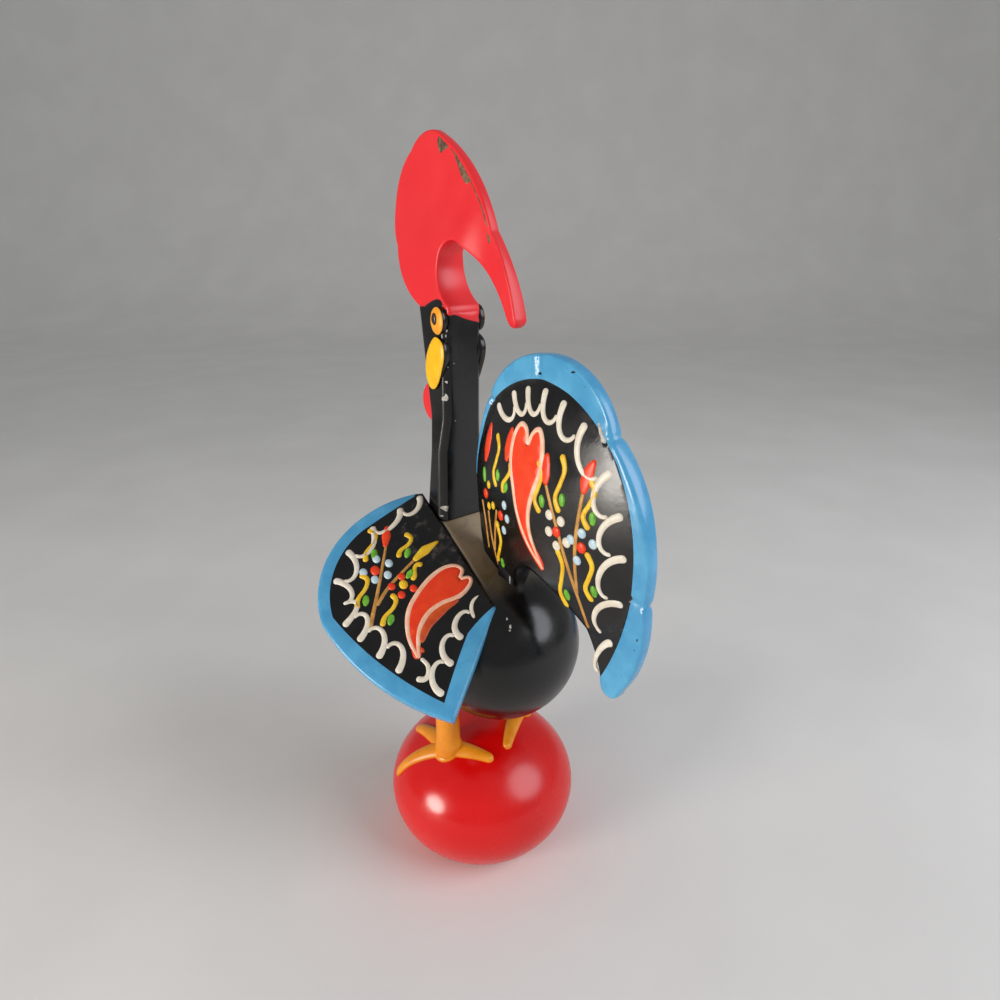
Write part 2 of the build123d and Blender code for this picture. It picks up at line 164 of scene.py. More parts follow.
# The line work is opaque: a thick oil enamel straight from the pot that keeps the brush's ridges.
cream = enamel("Cream enamel line", "#E2D8C4", "#F0E9DA", 2, 0.36)
flame = enamel("Flame red enamel, dabbed on", "#F0380A", "#F44610", 2.5, 0.34)
rust = enamel("Rust orange enamel, thin glaze", "#C8430F", "#E0601C", 2.5, 0.36)
peach = enamel("Peach enamel line", "#F8B894", "#FDD6BC", 2, 0.36)
lemon = enamel("Egg yellow enamel squiggle", "#EDB712", "#F8D232", 2, 0.34)
green = enamel("Leaf green enamel, dabbed on", "#5AA524", "#82C93C", 1.6, 0.34)
pale_blue = enamel("Pale blue enamel dot", "#B2D0DE", "#D4E6EE", 1.6, 0.34)
ochre = enamel("Ochre enamel stem, thinned", "#B57F34", "#D6A050", 2, 0.38)
pupil_brown = enamel("Dark brown enamel dot", "#2A1710", "#3E2418", 1, 0.3)
# Where the enamel has chipped off, the dull undercoats show: chalky primer, or the brown coat below it.
primer = enamel("Chalky primer in a chip", "#A9A49C", "#D6D2CA", 0.8, 0.62, 0.5)
undercoat = enamel("Brown undercoat in a chip", "#4A3526", "#8E6E50", 0.8, 0.55, 0.5)
print("paints mixed:", len(bpy.data.materials))

# %% [markdown]
# ## Lines and skins
# Nearly everything on this object is a flat plate with a hand-cut outline, or a stroke along a line.
# Two small drawing aids make the lines: one bends a smooth curve through a few points,
# the other strings circular arcs together, which is how the scalloped rims are cut.
# Blender's curve objects could draw them too, but lists of points can also be filled and laid on a dome.

# %% Curves and arcs
def unit(vectors):
    """The same directions with a length of one."""
    vectors = np.asarray(vectors, float)
    return vectors / np.linalg.norm(vectors, axis=-1, keepdims=True)


def left_of(ways):
    """The directions a quarter turn to the left."""
    return np.stack([-ways[..., 1], ways[..., 0]], -1)


def circle(count):
    """Points evenly round a circle with a radius of one."""
    turn = np.linspace(0, 2 * math.pi, count, endpoint=False)
    return np.column_stack([np.cos(turn), np.sin(turn)])


def smooth_line(points, step=0.4, closed=False):
    """Points about one step apart (mm) on a smooth curve through the given points."""
    p = np.asarray(points, float)
    ends = (p[-1:], p[:2]) if closed else (2 * p[:1] - p[1:2], 2 * p[-1:] - p[-2:-1])
    p = np.vstack([ends[0], p, ends[1]])
    runs = []
    for a, b, c, d in zip(p, p[1:], p[2:], p[3:]):
        length = np.linalg.norm(c - b)
        leave = (c - a) * length / np.linalg.norm(c - a)
        reach = (d - b) * length / np.linalg.norm(d - b)
        t = np.linspace(0, 1, max(2, math.ceil(length / step)), endpoint=False)[:, None]
        runs.append(
            (2 * t**3 - 3 * t**2 + 1) * b + (t**3 - 2 * t**2 + t) * leave
            + (3 * t**2 - 2 * t**3) * c + (t**3 - t**2) * reach
        )
    if not closed:
        runs.append(p[-2:-1])
    return np.vstack(runs)


def arcs(start, *legs, step=0.5, closed=True):
    """A line of circular arcs: each leg is its end and its rise to the left of travel."""
    runs, a = [], np.array(start, float)
    for end, rise in legs:
        b = np.array(end, float)
        length = np.linalg.norm(b - a)
        along = (b - a) / length
        left = left_of(along)
        t = np.linspace(0, 1, max(2, math.ceil(length / step)), endpoint=False)[:, None]
        if rise:
            half = 2 * math.atan2(2 * rise, length)
            radius = length / 2 / math.sin(half)
            turn = (2 * t - 1) * half
            centre = (a + b) / 2 + left * (rise - radius)
            run = centre + radius * (left * np.cos(turn) + along * np.sin(turn))
        else:
            run = a + t * (b - a)
        runs.append(run)
        a = b
    return np.vstack(runs if closed else runs + [[a]])


def run_along(line):
    """The distance along a line to each of its points."""
    return np.concatenate([[0], np.cumsum(np.linalg.norm(np.diff(line, axis=0), axis=1))])


print("points on a half circle with a radius of 10 mm:", len(arcs((-10, 0), ((10, 0), 10))))

# %% [markdown]
# A plate or a patch of paint needs its outline filled with faces.
# One face with many corners would do for a flat plate, but it can't swell into a dome.
# So Blender's triangulator gets the outline, rows of points that follow it, and an even grid inside.

# %% Filled outlines
def inside(points, loop):
    """True for each point that lies inside the closed loop."""
    x, y = np.asarray(points, float).T[:, :, None]
    (x0, y0), (x1, y1) = loop.T, np.roll(loop, -1, 0).T
    crosses = (y0 > y) != (y1 > y)
    reach = x0 + (y - y0) * (x1 - x0) / np.where(y1 == y0, 1e-9, y1 - y0)
    return (crosses & (x < reach)).sum(1) % 2 == 1


def distance(points, line):
    """The distance from each point to the nearest piece of a line."""
    p, a = np.asarray(points, float)[:, None, :], line[:-1]
    leg = line[1:] - a
    share = np.clip(((p - a) * leg).sum(2) / np.maximum((leg**2).sum(1), 1e-12), 0, 1)
    return np.linalg.norm(p - a - share[:, :, None] * leg, axis=2).min(1)


def ring_round(loop):
    """Close a loop by repeating its first point."""
    return np.vstack([loop, loop[:1]])


def filled(loop, spacing, insets, lines=()):
    """Fill a loop with triangles: rows that follow the rim at each inset, then an even grid."""
    along = unit(np.roll(loop, -1, 0) - np.roll(loop, 1, 0))
    inward = left_of(along)
    if not inside(loop[:1] + 0.05 * inward[:1], loop)[0]:
        inward = -inward
    rim = ring_round(loop)
    # Points that crowd the rim or a line are left out, so that no triangle gets too thin.
    extra = []
    for inset in insets:
        row = loop + inset * inward
        extra.append(row[inside(row, loop) & (distance(row, rim) > 0.93 * inset)])
    low, high = loop.min(0), loop.max(0)
    row_gap = 0.866 * spacing
    x, y = np.meshgrid(np.arange(low[0], high[0], spacing), np.arange(low[1], high[1], row_gap))
    x = x + spacing / 2 * (np.arange(len(x)) % 2)[:, None]
    grid = np.column_stack([x.ravel(), y.ravel()])
    grid = grid[inside(grid, loop)]
    grid = grid[distance(grid, rim) > max(insets, default=0) + 0.5 * spacing]
    for line in lines:
        grid = grid[distance(grid, line) > 0.4 * spacing]
        extra = [row[distance(row, line) > 0.15] for row in extra]
    points = [loop, *lines, *extra, grid]
    edges = [(i, (i + 1) % len(loop)) for i in range(len(loop))]
    first = len(loop)
    for line in lines:
        edges += [(first + i, first + i + 1) for i in range(len(line) - 1)]
        first += len(line)
    corners, _, faces, *_ = delaunay_2d_cdt([Vector(p) for p in np.vstack(points)], edges, [], 1, 1e-5)
    return np.array([tuple(c) for c in corners]), [tuple(f) for f in faces]


print("triangles in a disc with a radius of 10 mm:", len(filled(10 * circle(40), 2.0, ())[1]))

# %% [markdown]
# A piece is a mesh with a name, a paint and a place in the assembly.
# The maker below takes millimetres, turns all faces outwards and shades them smoothly.
# It also hides the casting of the engineering model that the piece stands for.
# Its faces come from rings joined into a skin, or from two sheets sewn together round their rim.
# Modifiers could thicken and loft as well, but plain faces leave every measure in sight.

# %% The piece maker
def make_piece(name, points, faces, paints, node, slot, paint_of=None):
    """Build one named mesh from millimetre points, attach it to the figure's body and hide the casting it
    stands for.
    """
    mesh = bpy.data.meshes.new(name)
    mesh.from_pydata((np.asarray(points) * MM).tolist(), [], [tuple(map(int, f)) for f in faces])
    for paint in paints:
        mesh.materials.append(paint)
    if paint_of is not None:
        mesh.polygons.foreach_set("material_index", np.asarray(paint_of, np.int32))
    shell = bmesh.new()
    shell.from_mesh(mesh)
    bmesh.ops.recalc_face_normals(shell, faces=shell.faces)
    shell.to_mesh(mesh)
    shell.free()
    mesh.polygons.foreach_set("use_smooth", [True] * len(mesh.polygons))
    piece = bpy.data.objects.new(name, mesh)
    bpy.context.scene.collection.objects.link(piece)
    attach(piece, "root")
    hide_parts(node)
    return piece


def level(outline, z):
    """Lay a flat outline at a height."""
    return np.column_stack([outline, np.full(len(outline), z)])


def skin(rings):
    """Join rings of equally many points: the faces are the sides, then the first cap and the last one."""
    count = len(rings[0])
    faces = []
    for r in range(len(rings) - 1):
        for i in range(count):
            j = (i + 1) % count
            faces.append((r * count + i, r * count + j, (r + 1) * count + j, (r + 1) * count + i))
    last = (len(rings) - 1) * count
    faces += [tuple(range(count)), tuple(range(last, last + count))]
    return np.vstack(rings), faces


def sewn(top, low, faces):
    """Sew two sheets together round their rim, and tell which face each edge of the rim belongs to."""
    open_edges = {}
    for number, face in enumerate(faces):
        for a, b in zip(face, face[1:] + face[:1]):
            if (b, a) in open_edges:
                del open_edges[(b, a)]
            else:
                open_edges[(a, b)] = number
    count = len(top)
    under = [tuple(i + count for i in reversed(face)) for face in faces]
    rim = [(b, a, a + count, b + count) for a, b in open_edges]
    return np.vstack([top, low]), faces + under + rim, list(open_edges.values())


def joined(bits):
    """Put several skins together in one list of points and faces."""
    points, faces, start = [], [], 0
    for p, f in bits:
        points.append(p)
        faces += [tuple(i + start for i in face) for face in f]
        start += len(p)
    return np.vstack(points), faces


# %% [markdown]
# ## Base and legs
# The base is a flattened ball with a flat underside, cast in one piece and dipped in red.
# A squashed ball cut off below would leave a sharp rim. A lathe turns half its outline instead,
# which has a small round where the ball meets the flat.
# The legs are plain round posts. Their paint is thicker at the ends, where it gathered.

# %% Base and legs on a lathe
def lathe(profile, centre=(0, 0), around=96):
    """Turn a profile of (radius, height) points about an upright line."""
    return skin([level(centre + radius * circle(around), z) for radius, z in profile])


SIDES = ((1, "left"), (-1, "right"))
BASE_RADIUS, BASE_RISE, BASE_WAIST = 24.3, 18.8, 14.4
flat_angle = -math.asin(BASE_WAIST / BASE_RISE)
flat_radius = BASE_RADIUS * math.cos(flat_angle)
under = [(flat_radius - 1.4, 0.0), (flat_radius - 0.6, 0.03), (flat_radius - 0.02, 0.28)]
ball = [
    (BASE_RADIUS * math.cos(a), BASE_WAIST + BASE_RISE * math.sin(a))
    for a in np.linspace(flat_angle + 0.07, math.pi / 2 - 0.01, 60)
]
base = make_piece("base_ball", *lathe(under + ball), [base_red], "base", "base_red_enamel")

LEG_X, LEG_Y = 11.8, 1.2
LEG_PROFILE = (
    (3.35, 30.0), (3.3, 32.4), (3.08, 33.4), (3.0, 35.0),
    (2.94, 40.0), (3.0, 45.5), (3.1, 47.6), (3.4, 50.0),
)
for side, word in SIDES:
    points, faces = lathe(smooth_line(LEG_PROFILE, 0.6), (side * LEG_X, LEG_Y), 40)
    make_piece(f"{word}_leg_post", points, faces, [leg_yellow], f"{word}_leg", "yellow_enamel")
print("base faces:", len(base.data.polygons))

# %% [markdown]
# ## Strokes that lie on a surface
# A stroke is drawn in two flat coordinates and then laid on a surface.
# The surface is a function: it takes flat points and a height above the surface and gives places in space.
# The same aid draws the toes, which are fat strokes on the base, and all of the painted line work.
# A picture on the surface would be flat, but these strokes catch the light along their edges.

# %% Stroke, dot and patch
# A stroke's section: places across it, and the share of its height there.
SECTION = np.array([-1.0, -0.8, -0.35, 0.35, 0.8, 1.0])
SWELL = np.array([0.0, 0.62, 1.0, 1.0, 0.62, 0.0])
# A dab's rings: the share of its size, and the share of its height there.
DAB = ((1.0, 0.0), (0.9, 0.55), (0.6, 0.92), (0.2, 1.0))
# Paint reaches a little into the surface, so that no gap shows, and a patch rises over a narrow edge.
SINK, COAT_EDGE = -0.12, 0.22


def stroke(surface, path, widths, rise=0.22):
    """Lay a round-ended stroke on a surface: its width runs through the given widths."""
    line = smooth_line(path)
    run = run_along(line)
    half = np.interp(run / run[-1], np.linspace(0, 1, len(widths)), widths) / 2
    to_end = np.minimum(run, run[-1] - run)
    cap = np.clip(to_end / np.maximum(half, 1e-6), 0, 1)
    shape = np.sqrt(np.maximum(1 - (1 - cap) ** 2, 0.02))
    along = unit(np.gradient(line, axis=0))
    across = left_of(along)
    rings = []
    for spot, side, width, share in zip(line, across, half, shape):
        flat = spot + np.outer(SECTION * width * share, side)
        rings.append(surface(flat, SINK + (rise - SINK) * SWELL * share))
    return skin(rings)


def dot(surface, centre, size, rise=0.28, around=14):
    """Lay one dab of paint: a low dome with two diameters."""
    ring = circle(around) * size / 2
    heights = [np.full(around, SINK + (rise - SINK) * high) for _, high in DAB]
    return skin([surface(centre + share * ring, high) for (share, _), high in zip(DAB, heights)])


def patch(surface, corners, rise=0.16, spacing=0.9):
    """Fill a closed smooth outline with a thin coat that follows the surface."""
    loop = smooth_line(corners, 0.35, closed=True)
    flat, faces = filled(loop, spacing, (COAT_EDGE,))
    edge = np.clip(distance(flat, ring_round(loop)) / COAT_EDGE, 0, 1)
    top = surface(flat, SINK + (rise - SINK) * edge)
    points, faces, _ = sewn(top, surface(flat, np.full(len(flat), SINK)), faces)
    return points, faces


print("paint reaches into a surface by (mm):", -SINK)

# %% [markdown]
# ## Feet
# Each foot is a round hub with three long toes, lying on the base like a thick skin of yellow.
# The toes taper and lie low, highest along the middle. Solid bars would have to be bent to the ball,
# so each one is a wide flat stroke on it.
# The left foot's back toe is short, and the right foot's back toe is longer and turned further in.

# %% Feet
def base_surface(flat, height):
    """Places on the upper half of the base, at a height along its normal."""
    flat = np.atleast_2d(flat)
    rest = np.clip(1 - (flat**2).sum(1) / BASE_RADIUS**2, 1e-4, 1)
    spot = np.column_stack([flat, BASE_WAIST + BASE_RISE * np.sqrt(rest)])
    normal = unit((spot - (0, 0, BASE_WAIST)) / (BASE_RADIUS**2, BASE_RADIUS**2, BASE_RISE**2))
    return spot + np.reshape(height, (-1, 1)) * normal


# Each toe is its length and its turn from straight ahead in degrees, outwards if positive.
FRONT_TOES = ((15.0, -2), (14.0, 42))
BACK_TOE = {"left": (12.2, -149), "right": (16.4, -128)}
HUB_WIDTH, HUB_RISE = 7.4, 1.0
TOE_WIDTHS, TOE_RISE = (5.0, 3.8, 2.2), 0.9
TOE_LIMIT = 0.985 * BASE_RADIUS
for side, word in SIDES:
    hub = np.array([side * LEG_X, LEG_Y])
    bits = [dot(base_surface, hub, (HUB_WIDTH, HUB_WIDTH), HUB_RISE, 28)]
    for length, turn in (*FRONT_TOES, BACK_TOE[word]):
        angle = math.radians(-90 + side * turn)
        tip = hub + length * np.array([math.cos(angle), math.sin(angle)])
        tip *= min(1, TOE_LIMIT / np.linalg.norm(tip))
        bits.append(stroke(base_surface, [hub, (hub + tip) / 2, tip], TOE_WIDTHS, TOE_RISE))
    make_piece(f"{word}_foot_toes", *joined(bits), [leg_yellow], f"{word}_foot", "yellow_enamel")
print("toes on each foot:", len(bits) - 1)

# %% [markdown]
# ## Dust and body
# Dust lies round the foot of the neck, where a cloth seldom reaches, so the black has a grey veil there.
# Grains of dust would be far too many to model. The veil is mixed into a copy of the paint instead.
# It is the product of three shares: how well a face is turned to the dust, how near it is, and specks.

# %% Dust over a paint
SPECK_SIZE = 2.2


def dusty(paint, name, code, facing, centre, reach, cover):
    """A copy of a paint under dust on what faces one way, thinning out from a centre (mm)."""
    material = paint.copy()
    material.name = name
    tree = material.node_tree
    shader = tree.nodes["Principled BSDF"]
    colour = shader.inputs["Base Color"].links[0].from_socket
    gloss = shader.inputs["Roughness"].links[0].from_socket
    shape = add_node(tree, "ShaderNodeNewGeometry")
    lean = add_node(
        tree, "ShaderNodeVectorMath", {"operation": "DOT_PRODUCT"}, {0: shape.outputs["Normal"], 1: facing}
    )
    away = add_node(
        tree, "ShaderNodeVectorMath", {"operation": "DISTANCE"},
        {0: shape.outputs["Position"], 1: [c * MM for c in centre]},
    )
    specks = noise(tree, shape.outputs["Position"], SPECK_SIZE, 6.0)
    limits = (
        (lean.outputs["Value"], 0.75, 0.95),
        (away.outputs["Value"], reach * MM, 0.2 * reach * MM),
        (specks, 0.75 - cover, 1.0 - 0.5 * cover),
    )
    veil = 1.0
    for value, low, high in limits:
        share = add_node(
            tree, "ShaderNodeMapRange", {"interpolation_type": "SMOOTHSTEP"},
            {"Value": value, "From Min": low, "From Max": high},
        ).outputs["Result"]
        veil = add_node(tree, "ShaderNodeMath", {"operation": "MULTIPLY"}, {0: veil, 1: share}).outputs[0]
    mixed = add_node(tree, "ShaderNodeMix", {"data_type": "RGBA"}, {0: veil, 6: colour, 7: linear(code)})
    dulled = add_node(tree, "ShaderNodeMath", {"operation": "MULTIPLY_ADD"}, {0: veil, 1: 0.4, 2: gloss})
    tree.links.new(mixed.outputs[2], shader.inputs["Base Color"])
    tree.links.new(dulled.outputs[0], shader.inputs["Roughness"])
    return material


print("specks of dust are about this wide (mm):", SPECK_SIZE)

# %% [markdown]
# The body is a ball with a wedge on its back that climbs to the neck.
# Ball and wedge are cast together, so the join between them is soft. A boolean would leave it sharp.
# So a voxel remesh fuses the two meshes, and a smoothing pass rounds what the mould would round.

# %% Body
BODY_CENTRE, BODY_RADIUS = np.array([0.0, 7.9, 61.6]), 18.8
# The ridge's sections: height, front, back and half width. Its top slopes up between the last two.
RIDGE_LEVELS = ((64.0, -9.4, 13.0, 6.4), (76.1, -12.6, 15.7, 7.7), (89.2, -14.0, -5.6, 6.6))
RIDGE_CHAMFER = 0.5


def eight_sided(front, back, half, chamfer):
    """The corners of an eight-sided section, in plan."""
    flat = half - chamfer
    rear = [(half, back - chamfer), (flat, back), (-flat, back), (-half, back - chamfer)]
    fore = [(-half, front + chamfer), (-flat, front), (flat, front), (half, front + chamfer)]
    return np.array(rear + fore)


tilt = np.linspace(-1.56, 1.56, 64)
half_circle = np.column_stack([np.cos(tilt), np.sin(tilt)])
ball = lathe((0, BODY_CENTRE[2]) + BODY_RADIUS * half_circle, BODY_CENTRE[:2], 128)
wedge = skin([level(eight_sided(*sizes, RIDGE_CHAMFER), z) for z, *sizes in RIDGE_LEVELS])
(rear_z, _, rear_back, rear_half), (top_z, _, top_back, top_half) = RIDGE_LEVELS[1:]
ridge_facing = unit([0.0, top_z - rear_z, rear_back - top_back])
NECK_FOOT = (2.0, -3.0, 88.0)
back_black = dusty(black, "Black enamel under dust", "#A08C72", ridge_facing, NECK_FOOT, 23.0, 0.9)
body = make_piece("body_ball", *joined([ball, wedge]), [back_black], "body", "black_enamel")
fuse = body.modifiers.new("fuse the castings", "REMESH")
fuse.mode = "VOXEL"
fuse.voxel_size = 0.4 * MM
fuse.use_smooth_shade = True
soften = body.modifiers.new("soften the mould edges", "SMOOTH")
soften.factor = 0.5
soften.iterations = 4
print("body centre", BODY_CENTRE.tolist())

# %% [markdown]
# ## Neck and head
# The neck is a wide, shallow eight-sided column, thinnest in the middle, that deepens into the head.
# A block with bevelled edges would come close, but the neck changes its section all the way up.
# So it is made of rings stacked 0.8 mm apart, and closer at the top, each with softened corners.
# Red from the comb was brushed a little below the joint at the back of the head.

# %% Neck and head
def softened(corners, cut, count=4):
    """Round every corner of a closed outline with a short curve."""
    run = []
    for a, b, c in zip(np.roll(corners, 1, 0), corners, np.roll(corners, -1, 0)):
        start, end = b + cut * unit(a - b), b + cut * unit(c - b)
        for t in np.linspace(0, 1, count):
            run.append((1 - t) ** 2 * start + 2 * t * (1 - t) * b + t**2 * end)
    return np.array(run)


# The neck's sizes at four heights: foot, middle, throat and top of the head.
NECK_LEVELS = (89.2, 106.0, 114.0, 138.0)
NECK_FRONT = (-13.4, -11.5, -12.2, -15.4)
NECK_BACK = (-6.0, -5.9, -4.9, -4.4)
NECK_HALF = np.array([6.4, 6.05, 5.2, 5.2])
NECK_CHAMFER = 1.4
rings = []
for z in np.concatenate([np.arange(88.6, 136.0, 0.8), np.arange(136.0, 138.1, 0.25)]):
    front, back, half = (np.interp(z, NECK_LEVELS, sizes) for sizes in (NECK_FRONT, NECK_BACK, NECK_HALF))
    rings.append(level(softened(eight_sided(front, back, half, NECK_CHAMFER), 0.45), z))
make_piece("neck_column", *skin(rings), [black], "neck", "black_enamel")


def nape(flat, height):
    """Places on the back of the neck and head, drawn in (X, Z), with the slopes beside it."""
    flat = np.atleast_2d(flat)
    back = np.interp(flat[:, 1], NECK_LEVELS, NECK_BACK)
    flank = np.interp(flat[:, 1], NECK_LEVELS, NECK_HALF - NECK_CHAMFER)
    slope = np.maximum(np.abs(flat[:, 0]) - flank, 0)
    return np.column_stack([flat[:, 0], back - slope + height, flat[:, 1]])


overlap = [
    (4.9, 137.2), (2.5, 136.7), (-0.2, 135.7), (-3.2, 134.9), (-4.7, 134.8), (-4.8, 137.0), (0.0, 137.4),
]
make_piece("comb_red_on_nape", *patch(nape, overlap, 0.12), [comb_red], "neck", "comb_red_enamel")
print("neck rings:", len(rings))

# %% [markdown]
# ## Comb, wattle, tail and wings
# These are plates: an outline cut from sheet or cast flat, with a rounded rim.
# The plate maker fills the outline with triangles on both faces and sews them together round the rim.
# An outline that is only extruded has the same thickness everywhere. Here the thickness is a function,
# so the comb can be a wedge and the tail a dome.

# %% The plate maker
def plate(loop, spacing, insets, half, place, lines=(), field=None):
    """Both faces and the rim of a plate, and a 1 for each face that lies in the field."""
    flat, faces = filled(loop, spacing, insets, lines)
    thick = half(flat, distance(flat, ring_round(loop)))
    middle = np.array([flat[list(face)].mean(0) for face in faces])
    in_field = np.zeros(len(faces), int) if field is None else inside(middle, field).astype(int)
    points, faces, owners = sewn(place(flat, thick), place(flat, -thick), faces)
    return points, faces, np.concatenate([in_field, in_field, in_field[owners]])


def rolled(edge, radius):
    """How much a plate is thinned near its rim: the drop of a quarter circle."""
    share = np.clip(edge / radius, 0, 1)
    return radius * (1 - np.sqrt(1 - (1 - share) ** 2))


def upright(flat, thick):
    """Stand a plate drawn in (Y, Z) on the middle plane of the figure."""
    return np.column_stack([thick, flat])


print("a rim of 1 mm is thinned at its edge by (mm):", rolled(0.0, 1.0))

# %% [markdown]
# The comb is a thick wedge where it sits on the head and thins to a blade at the top and the hook.
# Three lobes lead up its front edge. The hook hangs behind with clear air under it.
# Both wedges could be cut with planes, but the casting has no edge between them, so they are blended.

# %% Comb and wattle
comb_loop = arcs(
    (-15.4, 138.0), ((-25.3, 150.4), 2.1), ((-21.3, 169.8), 4.4), ((-12.0, 172.8), 1.4),
    ((6.0, 153.6), 2.8), ((14.0, 137.0), 1.1), ((11.7, 135.8), 0.9), ((-2.4, 150.8), -1.7),
    ((-9.0, 147.6), -2.4), ((-4.7, 138.8), -1.5), ((-4.3, 137.2), 0.15), ((-4.6, 136.6), 0.05),
    ((-15.2, 136.6), 0), ((-15.4, 138.0), 0),
)


def eased(values, knots):
    """Read a smooth curve through a few (place, size) knots."""
    line = smooth_line(knots, 0.2)
    return np.interp(values, line[:, 0], line[:, 1])


# The hook lies behind the first place, ends at the second height and is round over the third.
HOOK_FROM, HOOK_END, HOOK_ROUND = 6.0, 135.3, 2.6
COMB_ROUND, WATTLE_HALF, WATTLE_ROUND = 0.45, 1.2, 0.8


def comb_half(flat, edge=None):
    """Half the comb's thickness: a wedge upwards blended with one to the hook, which ends in a drop."""
    by_height = eased(flat[:, 1], [(136, 4.8), (138, 4.7), (150, 3.2), (160, 1.4), (175, 0.85)])
    by_depth = eased(flat[:, 0], [(-5.2, 4.7), (-2.4, 3.2), (3.0, 1.4), (8.0, 1.2), (14.0, 1.7)])
    blend = -np.log(np.exp(-2 * by_height) + np.exp(-2 * by_depth)) / 2 + 0.05
    if edge is None:
        return blend
    to_tip = np.where(flat[:, 0] > HOOK_FROM, np.clip((flat[:, 1] - HOOK_END) / HOOK_ROUND, 0, 1), 1)
    return blend * np.sqrt(np.maximum(1 - (1 - to_tip) ** 2, 0.01)) - rolled(edge, COMB_ROUND) * to_tip


points, faces, _ = plate(comb_loop, 0.9, (0.07, 0.2, 0.45, 1.0), comb_half, upright)
make_piece("comb_plate", points, faces, [comb_red], "comb", "comb_red_enamel")

wattle_loop = arcs((-12.0, 114.2), ((-12.7, 119.8), 0), ((-17.6, 111.0), -5.6), ((-12.0, 114.2), -0.8))
points, faces, _ = plate(
    wattle_loop, 0.8, (0.1, 0.35, 0.8),
    lambda flat, edge: WATTLE_HALF - rolled(edge, WATTLE_ROUND), upright,
)
make_piece("wattle_drop", points, faces, [comb_red], "wattle", "comb_red_enamel")
print("comb outline points:", len(comb_loop))

# %% [markdown]
# The tail is a fan with a rim of six lobes, domed on both faces.
# A blue band runs round the rim from the front to the hanging tip, narrow in front and then wide.
# Where two lobes meet, a shallow groove runs in across the band. The last notch lies below the band's end.
# The band could be a colour only, but it is a second coat over the black and stands a little proud.

# %% Tail
NOTCHES = np.array([(50.2, 88.9), (40.3, 119.0), (20.6, 131.6), (5.5, 121.0), (1.5, 97.4)])
tail_loop = arcs(
    (40.7, 67.6), ((45.6, 67.4), -2.2), (NOTCHES[0], -2.1), (NOTCHES[1], -3.9), (NOTCHES[2], -4.5),
    (NOTCHES[3], -2.5), (NOTCHES[4], -2.2), ((8.4, 74.0), -2.5), ((13.8, 74.0), 0), ((15.4, 81.5), 0),
    ((22.7, 86.9), 1.8), ((40.7, 67.6), 3.8),
)
band_line = arcs(
    (1.4, 102.4), ((6.2, 119.5), 1.2), ((22.0, 126.8), 1.8), ((42.4, 114.7), 2.6), ((47.5, 95.5), 1.5),
    ((41.2, 69.9), 1.4), closed=False,
)
tail_field = np.vstack([band_line, [(39.0, 65.0), (30.0, 60.0), (-6.0, 60.0), (-6.0, 102.0)]])
DOME_CENTRE, DOME_RADIUS, DOME_RISE = np.array([25.0, 100.5]), 25.0, 4.4
dome_ball = (DOME_RADIUS**2 + DOME_RISE**2) / (2 * DOME_RISE)
TAIL_HALF, RIM_ROUND = 1.2, 0.6
# A second coat climbs over a narrow step beside its line.
COAT_STEP, BAND_RISE = 0.4, 0.22
GROOVE_WIDTH, GROOVE_DEPTH = 0.6, 0.6


def dome(flat):
    """Half the tail's thickness without its band, grooves and rounded rim."""
    away = np.minimum(np.linalg.norm(flat - DOME_CENTRE, axis=1), DOME_RADIUS)
    return TAIL_HALF + np.sqrt(dome_ball**2 - away**2) - (dome_ball - DOME_RISE)


def tail_half(flat, edge):
    """Half the tail's thickness, with the raised band and the grooves at the notches."""
    band = ~inside(flat, tail_field)
    proud = BAND_RISE * np.clip(distance(flat, band_line) / COAT_STEP, 0, 1)
    groove = np.zeros(len(flat))
    for notch in NOTCHES[:4]:
        inner = band_line[np.linalg.norm(band_line - notch, axis=1).argmin()]
        beside = distance(flat, np.array([notch, inner]))
        groove = np.maximum(groove, np.exp(-((beside / GROOVE_WIDTH) ** 2)))
    return dome(flat) + (proud - GROOVE_DEPTH * groove) * band - rolled(edge, RIM_ROUND)


points, faces, paint_of = plate(
    tail_loop, 0.8, (0.1, 0.3, 0.6, 1.1), tail_half, upright, [band_line], tail_field
)
make_piece("tail_fan", points, faces, [blue, black], "tail", "black_enamel", paint_of)

STEM_LEVELS = (61.5, 66.0, 72.0, 78.0, 84.5)
stem_section = softened(eight_sided(8.8, 14.2, 2.2, 0.6), 0.4)
stem_rings = [level(stem_section, z) for z in STEM_LEVELS]
make_piece("tail_stem", *skin(stem_rings), [black], "tail", "black_enamel")
print("tail faces:", len(faces))

# %% [markdown]
# The wings are flat plates that lean outwards from the ridge. Their blue border is widest at the back.
# The left wing is drawn once, in a flat frame that runs up the root and out to the tip.
# The right wing is its mirror image. A mirror modifier could make it, but not as a piece of its own.

# %% Wings
# The root runs up the ridge's edge, and the wing droops sideways from there by this angle.
WING_DROOP = math.radians(24.0)
WING_ROOT = np.array([rear_half, rear_back, rear_z])
WING_UP = unit((top_half, top_back, top_z) - WING_ROOT)
level_side = unit(np.cross((0, 0, 1), WING_UP))
level_up = np.cross(WING_UP, level_side)
WING_NORMAL = math.cos(WING_DROOP) * level_up + math.sin(WING_DROOP) * level_side
WING_OUT = np.cross(WING_NORMAL, WING_UP)
WING_HALF, BORDER_RISE = 1.2, 0.18
SOLDER_RISE, SOLDER_REACH = 0.95, 4.2


def wing_surface(flat, height, side=1):
    """Places on the upper face of a wing, at a height above it."""
    flat, height = np.atleast_2d(flat), np.reshape(height, (-1, 1))
    spot = WING_ROOT + flat[:, :1] * WING_UP + flat[:, 1:] * WING_OUT + height * WING_NORMAL
    return spot * (side, 1, 1)


